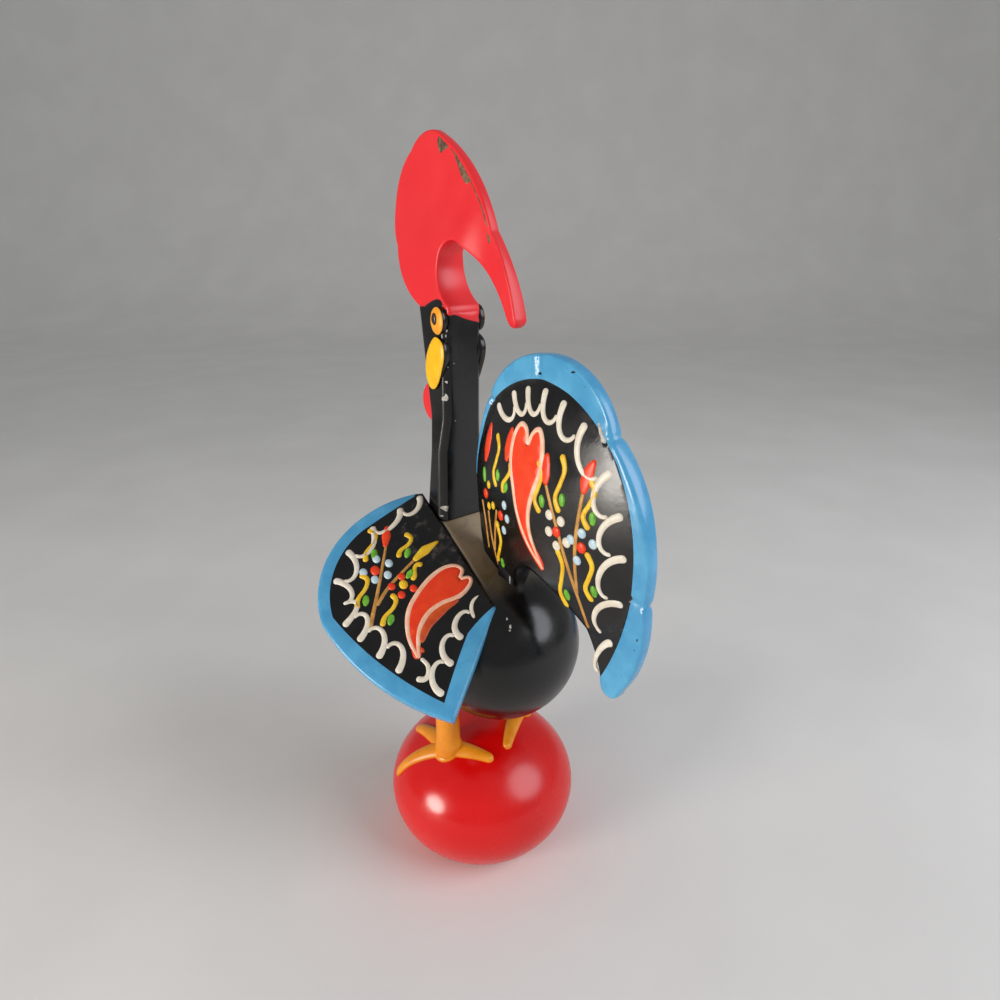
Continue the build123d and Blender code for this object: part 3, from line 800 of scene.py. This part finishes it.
wing_loop = arcs(
    (0.0, 0.15), ((-15.9, 19.4), 0), ((-15.9, 20.4), 0.4), ((16.9, 34.7), 3.1), ((35.5, 20.2), 3.4),
    ((35.2, 0.15), 1.9), ((0.0, 0.15), 0),
)
inner_rim = arcs(
    (35.2, 2.6), ((33.4, 17.0), -0.1), ((17.2, 31.9), -3.4), ((-12.0, 19.7), -1.6), closed=False,
)
inner_rear = arcs((-12.0, 19.7), ((-1.6, 8.3), 0.2), ((0.4, 1.0), 0.3), closed=False)
border_line = np.vstack([inner_rim, inner_rear[1:]])
wing_field = np.vstack([border_line, [(0.3, -3.0), (37.0, -3.0)]])


def wing_half(flat, edge):
    """Half the wing's thickness, with the border's second coat and some solder at the root's rear end."""
    border = ~inside(flat, wing_field)
    proud = BORDER_RISE * np.clip(distance(flat, border_line) / COAT_STEP, 0, 1) * border
    solder = SOLDER_RISE * np.exp(-((flat / SOLDER_REACH) ** 2).sum(1))
    return WING_HALF + proud + solder - rolled(edge, RIM_ROUND)


WING_TOP = (6.0, -6.0, 88.0)
wing_black = dusty(black, "Black enamel, faintly dusty", "#77706A", WING_NORMAL, WING_TOP, 15.0, 0.25)
for side, word in SIDES:
    points, faces, paint_of = plate(
        wing_loop, 1.1, (0.1, 0.3, 0.6, 1.2), wing_half,
        lambda flat, thick: wing_surface(flat, thick - WING_HALF, side), [border_line], wing_field,
    )
    paints = [blue, wing_black]
    make_piece(f"{word}_wing_plate", points, faces, paints, f"{word}_wing", "black_enamel", paint_of)
print("wing faces:", len(faces))

# %% [markdown]
# ## Eyes, earlobes and beak
# Eyes and earlobes are small raised bosses on the cheeks. Only their outward faces are painted bright,
# and their sides keep the black of the head, which also stands in as painted shade along their rims.
# A squashed ball would do for an eye, but not for the drop of an earlobe, so a boss is its outline drawn
# in ever smaller rings.

# %% Eyes and earlobes
def boss(loop, x, rings, side):
    """A raised boss on the cheek: each ring is the outline's share and its height."""
    middle = (loop.min(0) + loop.max(0)) / 2
    out = np.full(len(loop), side)
    return skin([upright(middle + share * (loop - middle), out * (x + high)) for share, high in rings])


def oval(middle, wide, high):
    """A closed oval outline in (Y, Z)."""
    return middle + circle(40) * (wide, high) / 2


CHEEK, PUPIL_SEAT = 5.2, 6.1
eye_loop = oval((-6.8, 135.6), 4.6, 5.9)
pupil_loop = oval((-7.1, 136.0), 1.7, 2.6)
lobe_corners = [(-8.2, 132.0), (-4.6, 130.6), (-5.2, 125.4), (-9.2, 120.4), (-11.6, 125.2)]
lobe_loop = smooth_line(lobe_corners, closed=True)
DOMED = ((0.96, -1.4), (1.0, 0.25), (0.98, 0.5), (0.93, 0.66), (0.74, 0.84), (0.45, 0.93), (0.15, 0.95))
PUPIL_RINGS = ((1.0, -0.2), (1.0, 0.1), (0.8, 0.3), (0.4, 0.38), (0.1, 0.4))
for side, word in SIDES:
    for part, loop, rise, paint, slot in (
        ("eye", eye_loop, 1.0, eye_orange, "orange_enamel"),
        ("earlobe", lobe_loop, 1.15, lobe_yellow, "earlobe_yellow_enamel"),
    ):
        points, faces = boss(loop, CHEEK, [(s, h * rise) for s, h in DOMED], side)
        # The first two rows of faces are the sides, and the last face but one is the hidden cap.
        # The sides stay black: the head's own paint, and also painted shade at the edge of the bright
        # face.
        number = np.arange(len(faces))
        black_with_painted_shade = (number < 2 * len(loop)) | (number == len(faces) - 2)
        node = f"{word}_{part}"
        make_piece(f"{node}_boss", points, faces, [paint, black], node, slot, black_with_painted_shade)
    points, faces = boss(pupil_loop, PUPIL_SEAT, PUPIL_RINGS, side)
    make_piece(f"{word}_pupil", points, faces, [pupil_brown], f"{word}_eye", "black_enamel")

print("rings in a boss:", len(DOMED))

# %% [markdown]
# The beak is a short cone that bends down at its tip. A plain cone would be straight,
# so this one is a row of ovals that shrink and sink on the way out.

# %% Beak
BEAK_Y, BEAK_Z, BEAK_REACH, BEAK_DROP = -13.4, 128.0, 5.0, 1.6
BEAK_SWELL, BEAK_TIP = 2.0, 0.45
beak_rings = []
for share in np.linspace(0, 1, 9):
    wide = BEAK_SWELL * (1 - share) ** 0.75 + BEAK_TIP
    x, z = (circle(28) * (1.02 * wide, 1.15 * wide)).T
    y = np.full(len(x), BEAK_Y - BEAK_REACH * share)
    beak_rings.append(np.column_stack([x, y, z + BEAK_Z - BEAK_DROP * share**1.6]))
make_piece("beak_cone", *skin(beak_rings), [leg_yellow], "beak", "yellow_enamel")
print("rings in the beak:", len(beak_rings))

# %% [markdown]
# ## Brush work on the wings
# Inside the blue border runs a cream line of scallops. Each scallop is one stroke of a pointed brush:
# it starts thick at the border, swings inwards and comes back thin against the tail of the next one.
# So a row needs only its border, the places on it where the strokes start, and how deep they swing.
# Half way round the rim the strokes change direction, so two rows run towards each other.

# %% Scallops on the wings
def each(draw, places, *how):
    """The same kind of brush work at several places, ready to be laid."""
    return [(draw, place, *how) for place in places]


SCALLOP_WIDTHS, SCALLOP_LEAN = (1.9, 1.5, 1.2, 0.9), 0.12


def scallops(border, starts, gap, depth, join):
    """Strokes from each start (mm along a border) to the next. Gap, depth and join lie inwards."""
    run = run_along(border)
    along = unit(np.gradient(border, axis=0))

    def spot(place, inwards):
        """A place along the border, or straight on past its ends, and so far inwards."""
        at, way = (np.array([np.interp(place, run, axis) for axis in line.T]) for line in (border, along))
        over = place - np.clip(place, 0, run[-1])
        return at + over * way - inwards * left_of(way)

    # A cubic curve reaches the depth half way if its two middle points lie this far in.
    deep = (8 * depth - gap - join) / 6
    t = np.linspace(0, 1, 9)[:, None]
    paths = []
    for a, b in zip(starts, starts[1:]):
        lean = SCALLOP_LEAN * (b - a)
        first, down, up, last = spot(a, gap), spot(a + lean, deep), spot(b + lean, deep), spot(b, join)
        middle = 3 * t * (1 - t) ** 2 * down + 3 * t**2 * (1 - t) * up
        paths.append((1 - t) ** 3 * first + middle + t**3 * last)
    return each(stroke, paths, SCALLOP_WIDTHS)


def paint_both(name, surface, bits, paint, nodes, slot):
    """Lay the same bits on the left and the right of the figure."""
    for (side, word), node in zip(SIDES, nodes):
        laid = [draw(lambda flat, height: surface(flat, height, side), *how) for draw, *how in bits]
        make_piece(f"{word}_{name}", *joined(laid), [paint], node, slot)


def on_wings(name, bits, paint, slot):
    """Lay bits on the upper faces of both wings."""
    paint_both(f"wing_{name}", wing_surface, bits, paint, ("left_wing", "right_wing"), slot)


from_corner, from_root = inner_rim[::-1], inner_rear[::-1]
bits = scallops(from_corner, (71.0, 65.5, 57.5), 0.4, 3.6, 1.8)
bits += scallops(from_corner, (57.5, 49.0, 41.0, 34.5), 0.4, 4.8, 2.8)
bits += scallops(from_corner, (12.0, 17.5, 23.5, 28.5, 34.5), 0.4, 5.4, 3.2)
bits += scallops(from_root, (21.5, 15.0, 9.0, 4.0, -0.5), 0.5, 4.4, 2.4)
bits += each(stroke, [[(-4.5, 22.5), (-5.5, 20.5), (-3.5, 19.0), (-1.0, 19.5)]], (1.5, 1.2, 0.9))
on_wings("scallops", bits, cream, "cream_enamel")
print("scallops on a wing:", len(bits))

# %% [markdown]
# In the field are two flowers on one branching stem, each a ring of dabs round a centre dab,
# with a bud at the tip of each stem. Between them lie sprigs: yellow squiggles with a green leaf dab each.
# A squiggle hooks over at its start or waves to both sides, so it is drawn from its ends and its bend.

# %% Wing flowers and sprigs
STEM_RISE, LEAF_RISE, CENTRE_RISE = 0.12, 0.3, 0.34
SQUIGGLE_WIDTHS = (1.6, 1.1, 1.1, 1.6)
LEAF_WIDTHS, LEAF_PLACE, LEAF_REACH = (1.1, 1.8, 0.9), 0.76, 1.4
# Each kind of squiggle is places along it, the share of its bend there, and the same share at its leaf.
HOOK = ((0.15, 0.4, 0.72), (1.0, 0.9, 0.0), 1.0)
WAVE = ((0.25, 0.5, 0.75), (1.0, 0.1, -1.0), 0.7)


def sprigs(kind, ends):
    """Squiggles and leaf dabs: each sprig is its start, its end and its bend, to the left if positive."""
    places, swings, leaf_swing = kind
    squiggles, leaves = [], []
    for start, end, bend in ends:
        run = np.subtract(end, start)
        along = unit(run)
        left = left_of(along)
        middle = [start + place * run + bend * swing * left for place, swing in zip(places, swings)]
        squiggles.append([start, *middle, end])
        leaf = start + LEAF_PLACE * run + leaf_swing * bend * left
        leaves.append([leaf - LEAF_REACH * along, leaf, leaf + LEAF_REACH * along])
    return each(stroke, squiggles, SQUIGGLE_WIDTHS), each(stroke, leaves, LEAF_WIDTHS, LEAF_RISE)


bits = each(stroke, [[(10.5, 26.0), (18.5, 20.0), (27.0, 14.0)]], (1.2, 0.9, 0.7), STEM_RISE)
bits += each(stroke, [[(14.5, 22.5), (17.0, 18.5), (19.0, 13.5), (20.5, 9.0)]], (1.1, 0.9, 0.7), STEM_RISE)
on_wings("stems", bits, ochre, "ochre_enamel")
bits = each(dot, ((25.0, 17.5), (22.5, 15.5), (20.0, 17.0), (20.5, 20.0), (23.5, 21.5)), (2.3, 1.9))
on_wings("flower_white", bits, pale_blue, "pale_blue_enamel")
bits = each(dot, [(22.5, 19.0)], (2.7, 2.2), CENTRE_RISE)
bits += each(stroke, [[(26.5, 14.5), (29.0, 13.0), (31.5, 11.5)]], (0.9, 2.5, 1.1))
bits += each(dot, ((18.0, 14.5), (17.0, 17.5), (14.0, 13.5), (14.0, 16.5)), (2.1, 1.8))
on_wings("flower_red", bits, flame, "flame_enamel")
squiggles, leaves = sprigs(HOOK, (
    ((33.0, 16.0), (25.5, 20.0), 1.9), ((27.5, 9.0), (22.5, 13.0), 1.8), ((18.0, 9.0), (16.0, 13.0), -1.2),
    ((23.5, 22.5), (16.0, 26.5), 1.8), ((15.5, 18.5), (9.5, 23.5), 1.5),
))
squiggles += each(dot, [(16.0, 15.0)], (2.5, 2.1), CENTRE_RISE)
squiggles += each(stroke, [[(20.0, 10.5), (21.0, 7.0), (21.5, 3.0)]], (1.2, 2.8, 0.5))
on_wings("squiggles", squiggles, lemon, "lemon_enamel")
on_wings("leaves", leaves, green, "green_enamel")
print("sprigs on a wing:", len(leaves))

# %% [markdown]
# A flame-coloured half heart with a peach outline fills the corner near the body.
# The heart was filled first and the outline drawn over its edge, so both use the same two lines.
# Below it a rust shadow peeps out from under the outline.

# %% Half heart on each wing
OUTLINE_RISE = 0.26
upper = [
    (-1.0, 20.0), (4.5, 19.5), (9.5, 17.0), (12.5, 13.0),
    (14.5, 8.0), (14.5, 4.0), (12.5, 2.0), (10.5, 3.5),
]
lower = [
    (10.5, 3.5), (9.5, 1.5), (8.0, 2.5), (7.0, 5.5),
    (7.5, 10.0), (7.0, 13.5), (4.5, 17.0), (-1.0, 20.0),
]
on_wings("heart", [(patch, upper + lower[1:-1])], flame, "flame_enamel")
shadow = [(2.0, 18.0), (6.0, 14.5), (7.2, 10.5), (6.6, 6.0), (5.2, 9.5), (3.8, 14.0)]
on_wings("heart_shadow", [(patch, shadow), (dot, (0.3, 18.4), (1.4, 0.9))], rust, "flame_enamel")
bits = each(stroke, (upper, lower), (0.9, 1.4, 1.4, 1.0), OUTLINE_RISE)
on_wings("heart_outline", bits, peach, "peach_enamel")
print("lines round the half heart:", len(bits))

# %% [markdown]
# ## Brush work on the tail
# The tail repeats the wing's theme on its dome: looping cream scallops inside the band,
# a red heart drawn out to a point, and a branch of flowers on each side of it.
# A shrinkwrap modifier could press flat strokes on the dome. Here the dome's own formula gives each stroke
# its height, so the paint follows the swelling exactly.

# %% Scallops on the tail
def tail_surface(flat, height, side=1):
    """Places on one face of the tail, at a height above it."""
    flat = np.atleast_2d(flat)
    return np.column_stack([side * (dome(flat) + height), flat])


def on_tail(name, bits, paint, slot):
    """Lay bits on both faces of the tail."""
    paint_both(f"tail_{name}", tail_surface, bits, paint, ("tail", "tail"), slot)


FIRST_SCALLOP = 19.5
SCALLOP_GAPS = (6.5, 5.0, 6.0, 6.0, 7.0, 11.0, 8.5, 8.5, 10.5, 10.0, 9.0)
starts = FIRST_SCALLOP + np.concatenate([[0], np.cumsum(SCALLOP_GAPS)])
# The last scallop is shallow, because the field runs out to a point between the band and the arch.
bits = scallops(band_line, starts[:-1], 1.2, 6.4, 4.2) + scallops(band_line, starts[-2:], 1.0, 3.0, 0.9)
on_tail("scallops", bits, cream, "cream_enamel")
print("scallops on a tail face:", len(bits))

# %% [markdown]
# The heart has two round shoulders and a long drawn-out point that sways back.
# Each side is one brush line from the dip at the top to the point, and the filling lies between them.

# %% Heart on the tail
front = [
    (21.0, 114.0), (20.0, 117.0), (18.0, 117.5), (16.5, 114.5), (16.5, 109.5),
    (18.0, 104.5), (19.5, 99.5), (22.5, 94.0), (27.0, 89.0),
]
rear = [
    (21.0, 114.0), (22.5, 117.0), (24.0, 117.5), (25.5, 114.0), (25.5, 109.5),
    (24.0, 105.0), (23.0, 100.5), (23.5, 96.0), (27.0, 89.0),
]
on_tail("heart", [(patch, front + rear[-2:0:-1])], flame, "flame_enamel")
shade = [(18.0, 103.0), (21.0, 95.5), (25.5, 89.5)]
on_tail("heart_shade", each(stroke, [shade], (0.6, 1.2, 0.6), 0.16), flame, "flame_enamel")
bits = each(stroke, (front, rear), (1.1, 1.4, 1.4, 1.2, 0.8), OUTLINE_RISE)
on_tail("heart_outline", bits, peach, "peach_enamel")
print("lines round the heart:", len(bits))

# %% [markdown]
# The branch behind the heart has two flowers. The one in front of it is the same idea, a little smaller,
# because the field is narrower there. Thin ochre stems come first, because the dabs lie over them.

# %% Tail flowers, stems, buds and sprigs
stems = (
    [(27.5, 108.0), (31.5, 98.5), (35.5, 86.0), (37.0, 78.5)], [(36.5, 108.5), (35.5, 97.0), (35.5, 86.5)],
    [(7.5, 96.0), (8.0, 88.0), (8.8, 80.0)], [(11.5, 97.5), (10.0, 91.5), (8.5, 86.0)],
    [(4.5, 97.5), (5.5, 92.0), (5.0, 85.0)],
)
on_tail("stems", each(stroke, stems, (0.9, 1.0, 0.8), STEM_RISE), ochre, "ochre_enamel")
bits = each(dot, ((29.0, 102.0), (32.0, 101.5), (29.0, 98.5), (33.5, 97.5), (31.0, 96.0)), (2.1, 2.3))
on_tail("flower_white", bits, cream, "cream_enamel")
bits = each(dot, ((34.5, 98.5), (37.0, 100.5), (39.5, 99.0), (36.0, 94.5)), (2.0, 2.2))
bits += each(dot, ((14.7, 99.5), (15.7, 96.7), (14.2, 93.5)), (1.8, 2.2))
on_tail("flower_blue", bits, pale_blue, "pale_blue_enamel")
buds = (
    [(27.0, 114.0), (27.0, 111.0), (27.5, 107.5)], [(38.0, 115.0), (37.0, 112.0), (36.5, 108.0)],
    [(7.0, 115.5), (6.5, 111.0), (6.0, 106.5)], [(15.5, 116.5), (15.0, 112.5), (14.8, 109.0)],
)
bits = each(dot, ((31.0, 99.0), (37.0, 97.5), (6.6, 99.5), (13.2, 96.6)), (2.2, 2.5), CENTRE_RISE)
on_tail("flower_red", bits + each(stroke, buds, (0.9, 2.6, 2.8, 1.0)), flame, "flame_enamel")
squiggles, leaves = sprigs(WAVE, (
    ((24.5, 112.0), (26.5, 101.5), 1.2), ((30.5, 114.5), (31.5, 103.0), 1.0),
    ((37.5, 111.5), (38.5, 101.5), 1.2), ((31.0, 95.5), (32.5, 82.0), 1.0),
    ((38.0, 97.0), (39.0, 86.0), 1.1), ((10.0, 114.0), (11.5, 102.5), 1.1),
    ((16.2, 109.5), (14.2, 102.0), 0.7), ((11.5, 93.5), (10.3, 81.0), 1.1),
))
squiggles += each(dot, ((8.0, 102.0), (8.0, 97.0), (10.0, 97.8), (11.5, 93.8)), (1.6, 2.0))
on_tail("squiggles", squiggles, lemon, "lemon_enamel")
leaves += each(stroke, [[(5.7, 105.5), (5.8, 103.5), (6.4, 102.0)]], LEAF_WIDTHS, LEAF_RISE)
on_tail("leaves", leaves, green, "green_enamel")
print("leaves on a tail face:", len(leaves))

# %% [markdown]
# ## Brow and chips
# A dab of black over each eye ran up on the comb's foot when the head was painted.
# It could be part of the comb's own paint, but as a patch it keeps the soft edge of wet enamel.

# %% Brow
def comb_face(flat, height, side=1):
    """Places on one face of the comb, at a height above it."""
    flat = np.atleast_2d(flat)
    return np.column_stack([side * (comb_half(flat) + height), flat])


brow = [(-13.4, 137.4), (-11.0, 139.3), (-7.5, 140.0), (-6.1, 138.4), (-7.5, 137.2)]
paint_both("brow", comb_face, [(patch, brow, 0.08)], black, ("comb", "comb"), "black_enamel")
print("corners of a brow:", len(brow))

# %% [markdown]
# Years of handling have knocked flakes off the edges of the neck, the comb and the body.
# A noise mask would scatter them anywhere. On the real figure they sit where it is knocked,
# so each one has its place, and is a small ragged outline filled with the coat below.

# %% Chips on the neck and the body
def facet(centre, normal):
    """A flat surface through a point, its two directions level and upwards."""
    out = unit(normal)
    sideways = unit(np.cross((0, 0, 1), out))
    axes = np.array([sideways, np.cross(out, sideways)])
    return lambda flat, height: centre + np.atleast_2d(flat) @ axes + np.reshape(height, (-1, 1)) * out


FLAKE_CORNERS, CHIP_GRID = 9, 0.5
CHIP_RISE, COMB_CHIP_RISE, BAND_CHIP_RISE, STREAK_RISE = 0.07, 0.05, 0.3, 0.34


def flakes(surface, places, rise):
    """Ragged chips on a surface: each is its place across and up, and its width and height."""
    bits = []
    for x, y, wide, high in places:
        reach = chance.uniform(0.6, 1.1, FLAKE_CORNERS)[:, None]
        corners = circle(FLAKE_CORNERS) * reach * (wide / 2, high / 2) + (x, y)
        bits.append(patch(surface, corners, rise, CHIP_GRID))
    return bits


neck_chips = [
    (4.6, 137.0, 0.9, 1.0), (4.5, 132.5, 0.6, 1.6), (4.5, 129.0, 0.6, 1.4), (4.5, 122.5, 0.9, 1.1),
    (4.6, 119.0, 1.4, 2.2), (5.4, 92.5, 1.8, 2.3), (5.8, 90.5, 1.0, 0.9), (3.0, 126.5, 0.7, 0.9),
    (2.8, 130.5, 0.5, 1.0), (2.7, 113.5, 0.6, 0.7),
]
# Beside the earlobe the corner of the neck is rubbed to a broken line of small flecks.
for k in range(9):
    neck_chips.append((4.2 + 0.2 * (k % 3), 124.5 + 1.3 * k, 0.45 + 0.2 * (k % 2), 0.9 + 0.3 * (k % 3)))
bits = flakes(nape, neck_chips, CHIP_RISE)
make_piece("neck_chips", *joined(bits), [primer], "neck", "primer_chip")
# Each chip on the body is a place that is moved out to the ball, and its height.
body_chips = (((7.5, 19.0, 75.0), 1.0), ((7.5, 20.0, 73.5), 1.4), ((8.0, 20.5, 73.0), 0.8))
bits = []
for spot, high in body_chips:
    out = unit(spot - BODY_CENTRE)
    bits += flakes(facet(BODY_CENTRE + BODY_RADIUS * out, out), [(0, 0, 0.8, high)], CHIP_RISE)
make_piece("body_chips", *joined(bits), [primer], "body", "primer_chip")
print("chips on the neck and the body:", len(neck_chips) + len(body_chips))

# %% [markdown]
# The comb is worn brown along its upper edge, in three larger flakes and one long scratch.
# On the tail's blue band the chips show the black under it, and one worn streak shows the primer.

# %% Chips on the comb and the tail
comb_chips = (
    [(-11.2, 171.4), (-8.9, 170.6), (-7.4, 169.2), (-8.8, 168.8), (-10.4, 168.3)],
    [(-5.3, 168.1), (-3.5, 166.4), (-0.1, 162.9), (-1.3, 162.1), (-2.9, 163.3), (-4.1, 165.1)],
    [(5.0, 153.2), (6.0, 152.0), (5.8, 151.0), (5.0, 151.8)],
)
bits = [patch(comb_face, corners, COMB_CHIP_RISE, CHIP_GRID) for corners in comb_chips]
scratch = [(-6.8, 169.1), (-1.7, 164.5), (2.6, 159.0), (5.1, 154.2)]
bits.append(stroke(comb_face, scratch, (0.3, 0.4, 0.4, 0.6), COMB_CHIP_RISE))
make_piece("comb_chips", *joined(bits), [undercoat], "comb", "bare_chip")
band_chips = (
    (28.6, 130.0, 1.0, 0.6), (30.2, 129.4, 2.2, 0.9), (31.8, 128.6, 1.0, 0.6), (33.0, 127.2, 1.2, 0.6),
    (20.9, 127.8, 1.0, 0.7), (49.3, 82.0, 0.7, 1.4), (48.8, 79.5, 0.6, 1.0),
)
bits = flakes(tail_surface, band_chips, BAND_CHIP_RISE)
make_piece("tail_chips", *joined(bits), [black], "tail", "black_enamel")
streak = stroke(tail_surface, [(37.0, 121.6), (38.0, 119.9), (39.3, 118.0)], (0.5, 1.0, 0.6), STREAK_RISE)
make_piece("tail_worn_streak", *streak, [primer], "tail", "primer_chip")
print("chips on the comb and the tail:", len(comb_chips) + len(band_chips))

# %% [markdown]
# ## Floor, light and camera
# A pale sweep serves as floor and background: it is flat under the figure and curls up far behind it.
# A plain floor would end in a hard horizon, and the sweep has none.

# %% Floor
# The sweep's outline: distance behind the figure and height, in metres.
SWEEP = ((-0.6, 0.0), (0.5, 0.0), (0.9, 0.0), (1.05, 0.03), (1.15, 0.12), (1.2, 0.26), (1.2, 1.4))
SWEEP_HALF = 1.6
CAMERA_TURN, CAMERA_DROP = math.radians(-129.84), math.radians(21.10)
behind = np.array([math.cos(CAMERA_TURN), math.sin(CAMERA_TURN)])
aside = -left_of(behind)
corners = [(*(behind * away + aside * side), z) for away, z in SWEEP for side in (-SWEEP_HALF, SWEEP_HALF)]
strips = [(i, i + 1, i + 3, i + 2) for i in range(0, len(corners) - 2, 2)]
floor_mesh = bpy.data.meshes.new("floor_sweep")
floor_mesh.from_pydata(corners, [], strips)
floor_mesh.polygons.foreach_set("use_smooth", [True] * len(floor_mesh.polygons))
floor = bpy.data.objects.new("floor_sweep", floor_mesh)
bpy.context.scene.collection.objects.link(floor)
floor_mesh.materials.append(enamel("Pale backdrop paper", "#E4E2DE", "#E9E7E3", 60, 0.7, 2.0))
print("strips in the sweep:", len(strips))

# %% [markdown]
# A round lamp low on the bird's left puts the small bright glint on the base.
# A larger, softer one behind the bird gives the broad sheen, and an even light fills the shadows.
# One bright sun would be simpler, but on gloss its glint is too small and its shadows are too hard.

# %% Lights
world = bpy.data.worlds.new("soft room light")
world.use_nodes = True
room = world.node_tree.nodes["Background"]
room.inputs["Color"].default_value = linear("#EEF1F5")
room.inputs["Strength"].default_value = 0.36
bpy.context.scene.world = world

AIM = Vector((0.0, 0.008, 0.085))


def area_light(name, place, size, watts, code):
    """A round soft light that points at the figure."""
    light = bpy.data.lights.new(name, "AREA")
    light.shape = "DISK"
    light.size = size
    light.energy = watts
    light.color = linear(code)[:3]
    lamp = bpy.data.objects.new(name, light)
    lamp.location = place
    lamp.rotation_euler = (AIM - Vector(place)).to_track_quat("-Z", "Y").to_euler()
    bpy.context.scene.collection.objects.link(lamp)


area_light("low round light", (0.50, -0.045, 0.115), 0.20, 1.8, "#FFF8F0")
area_light("large soft light", (-0.24, 0.44, 0.38), 0.46, 2.2, "#F6F8FF")
print("lamps:", len(bpy.data.lights))

# %% [markdown]
# The camera is close behind the left shoulder and a little above it, so the view tapers strongly.
# A long lens from afar would flatten the figure, so this is a short one from near by.

# %% Camera
camera = bpy.data.cameras.new("camera")
camera.lens = 24.84
camera.sensor_width = 36.0
camera.clip_start = 0.01
eye_point = bpy.data.objects.new("camera", camera)
eye_point.location = (0.09235, 0.1182, 0.153)
view = Vector((*(math.cos(CAMERA_DROP) * behind), -math.sin(CAMERA_DROP)))
eye_point.rotation_euler = view.to_track_quat("-Z", "Y").to_euler()
bpy.context.scene.collection.objects.link(eye_point)
bpy.context.scene.camera = eye_point
bpy.context.scene.view_settings.view_transform = "Standard"
print("lens in mm:", round(camera.lens, 2))
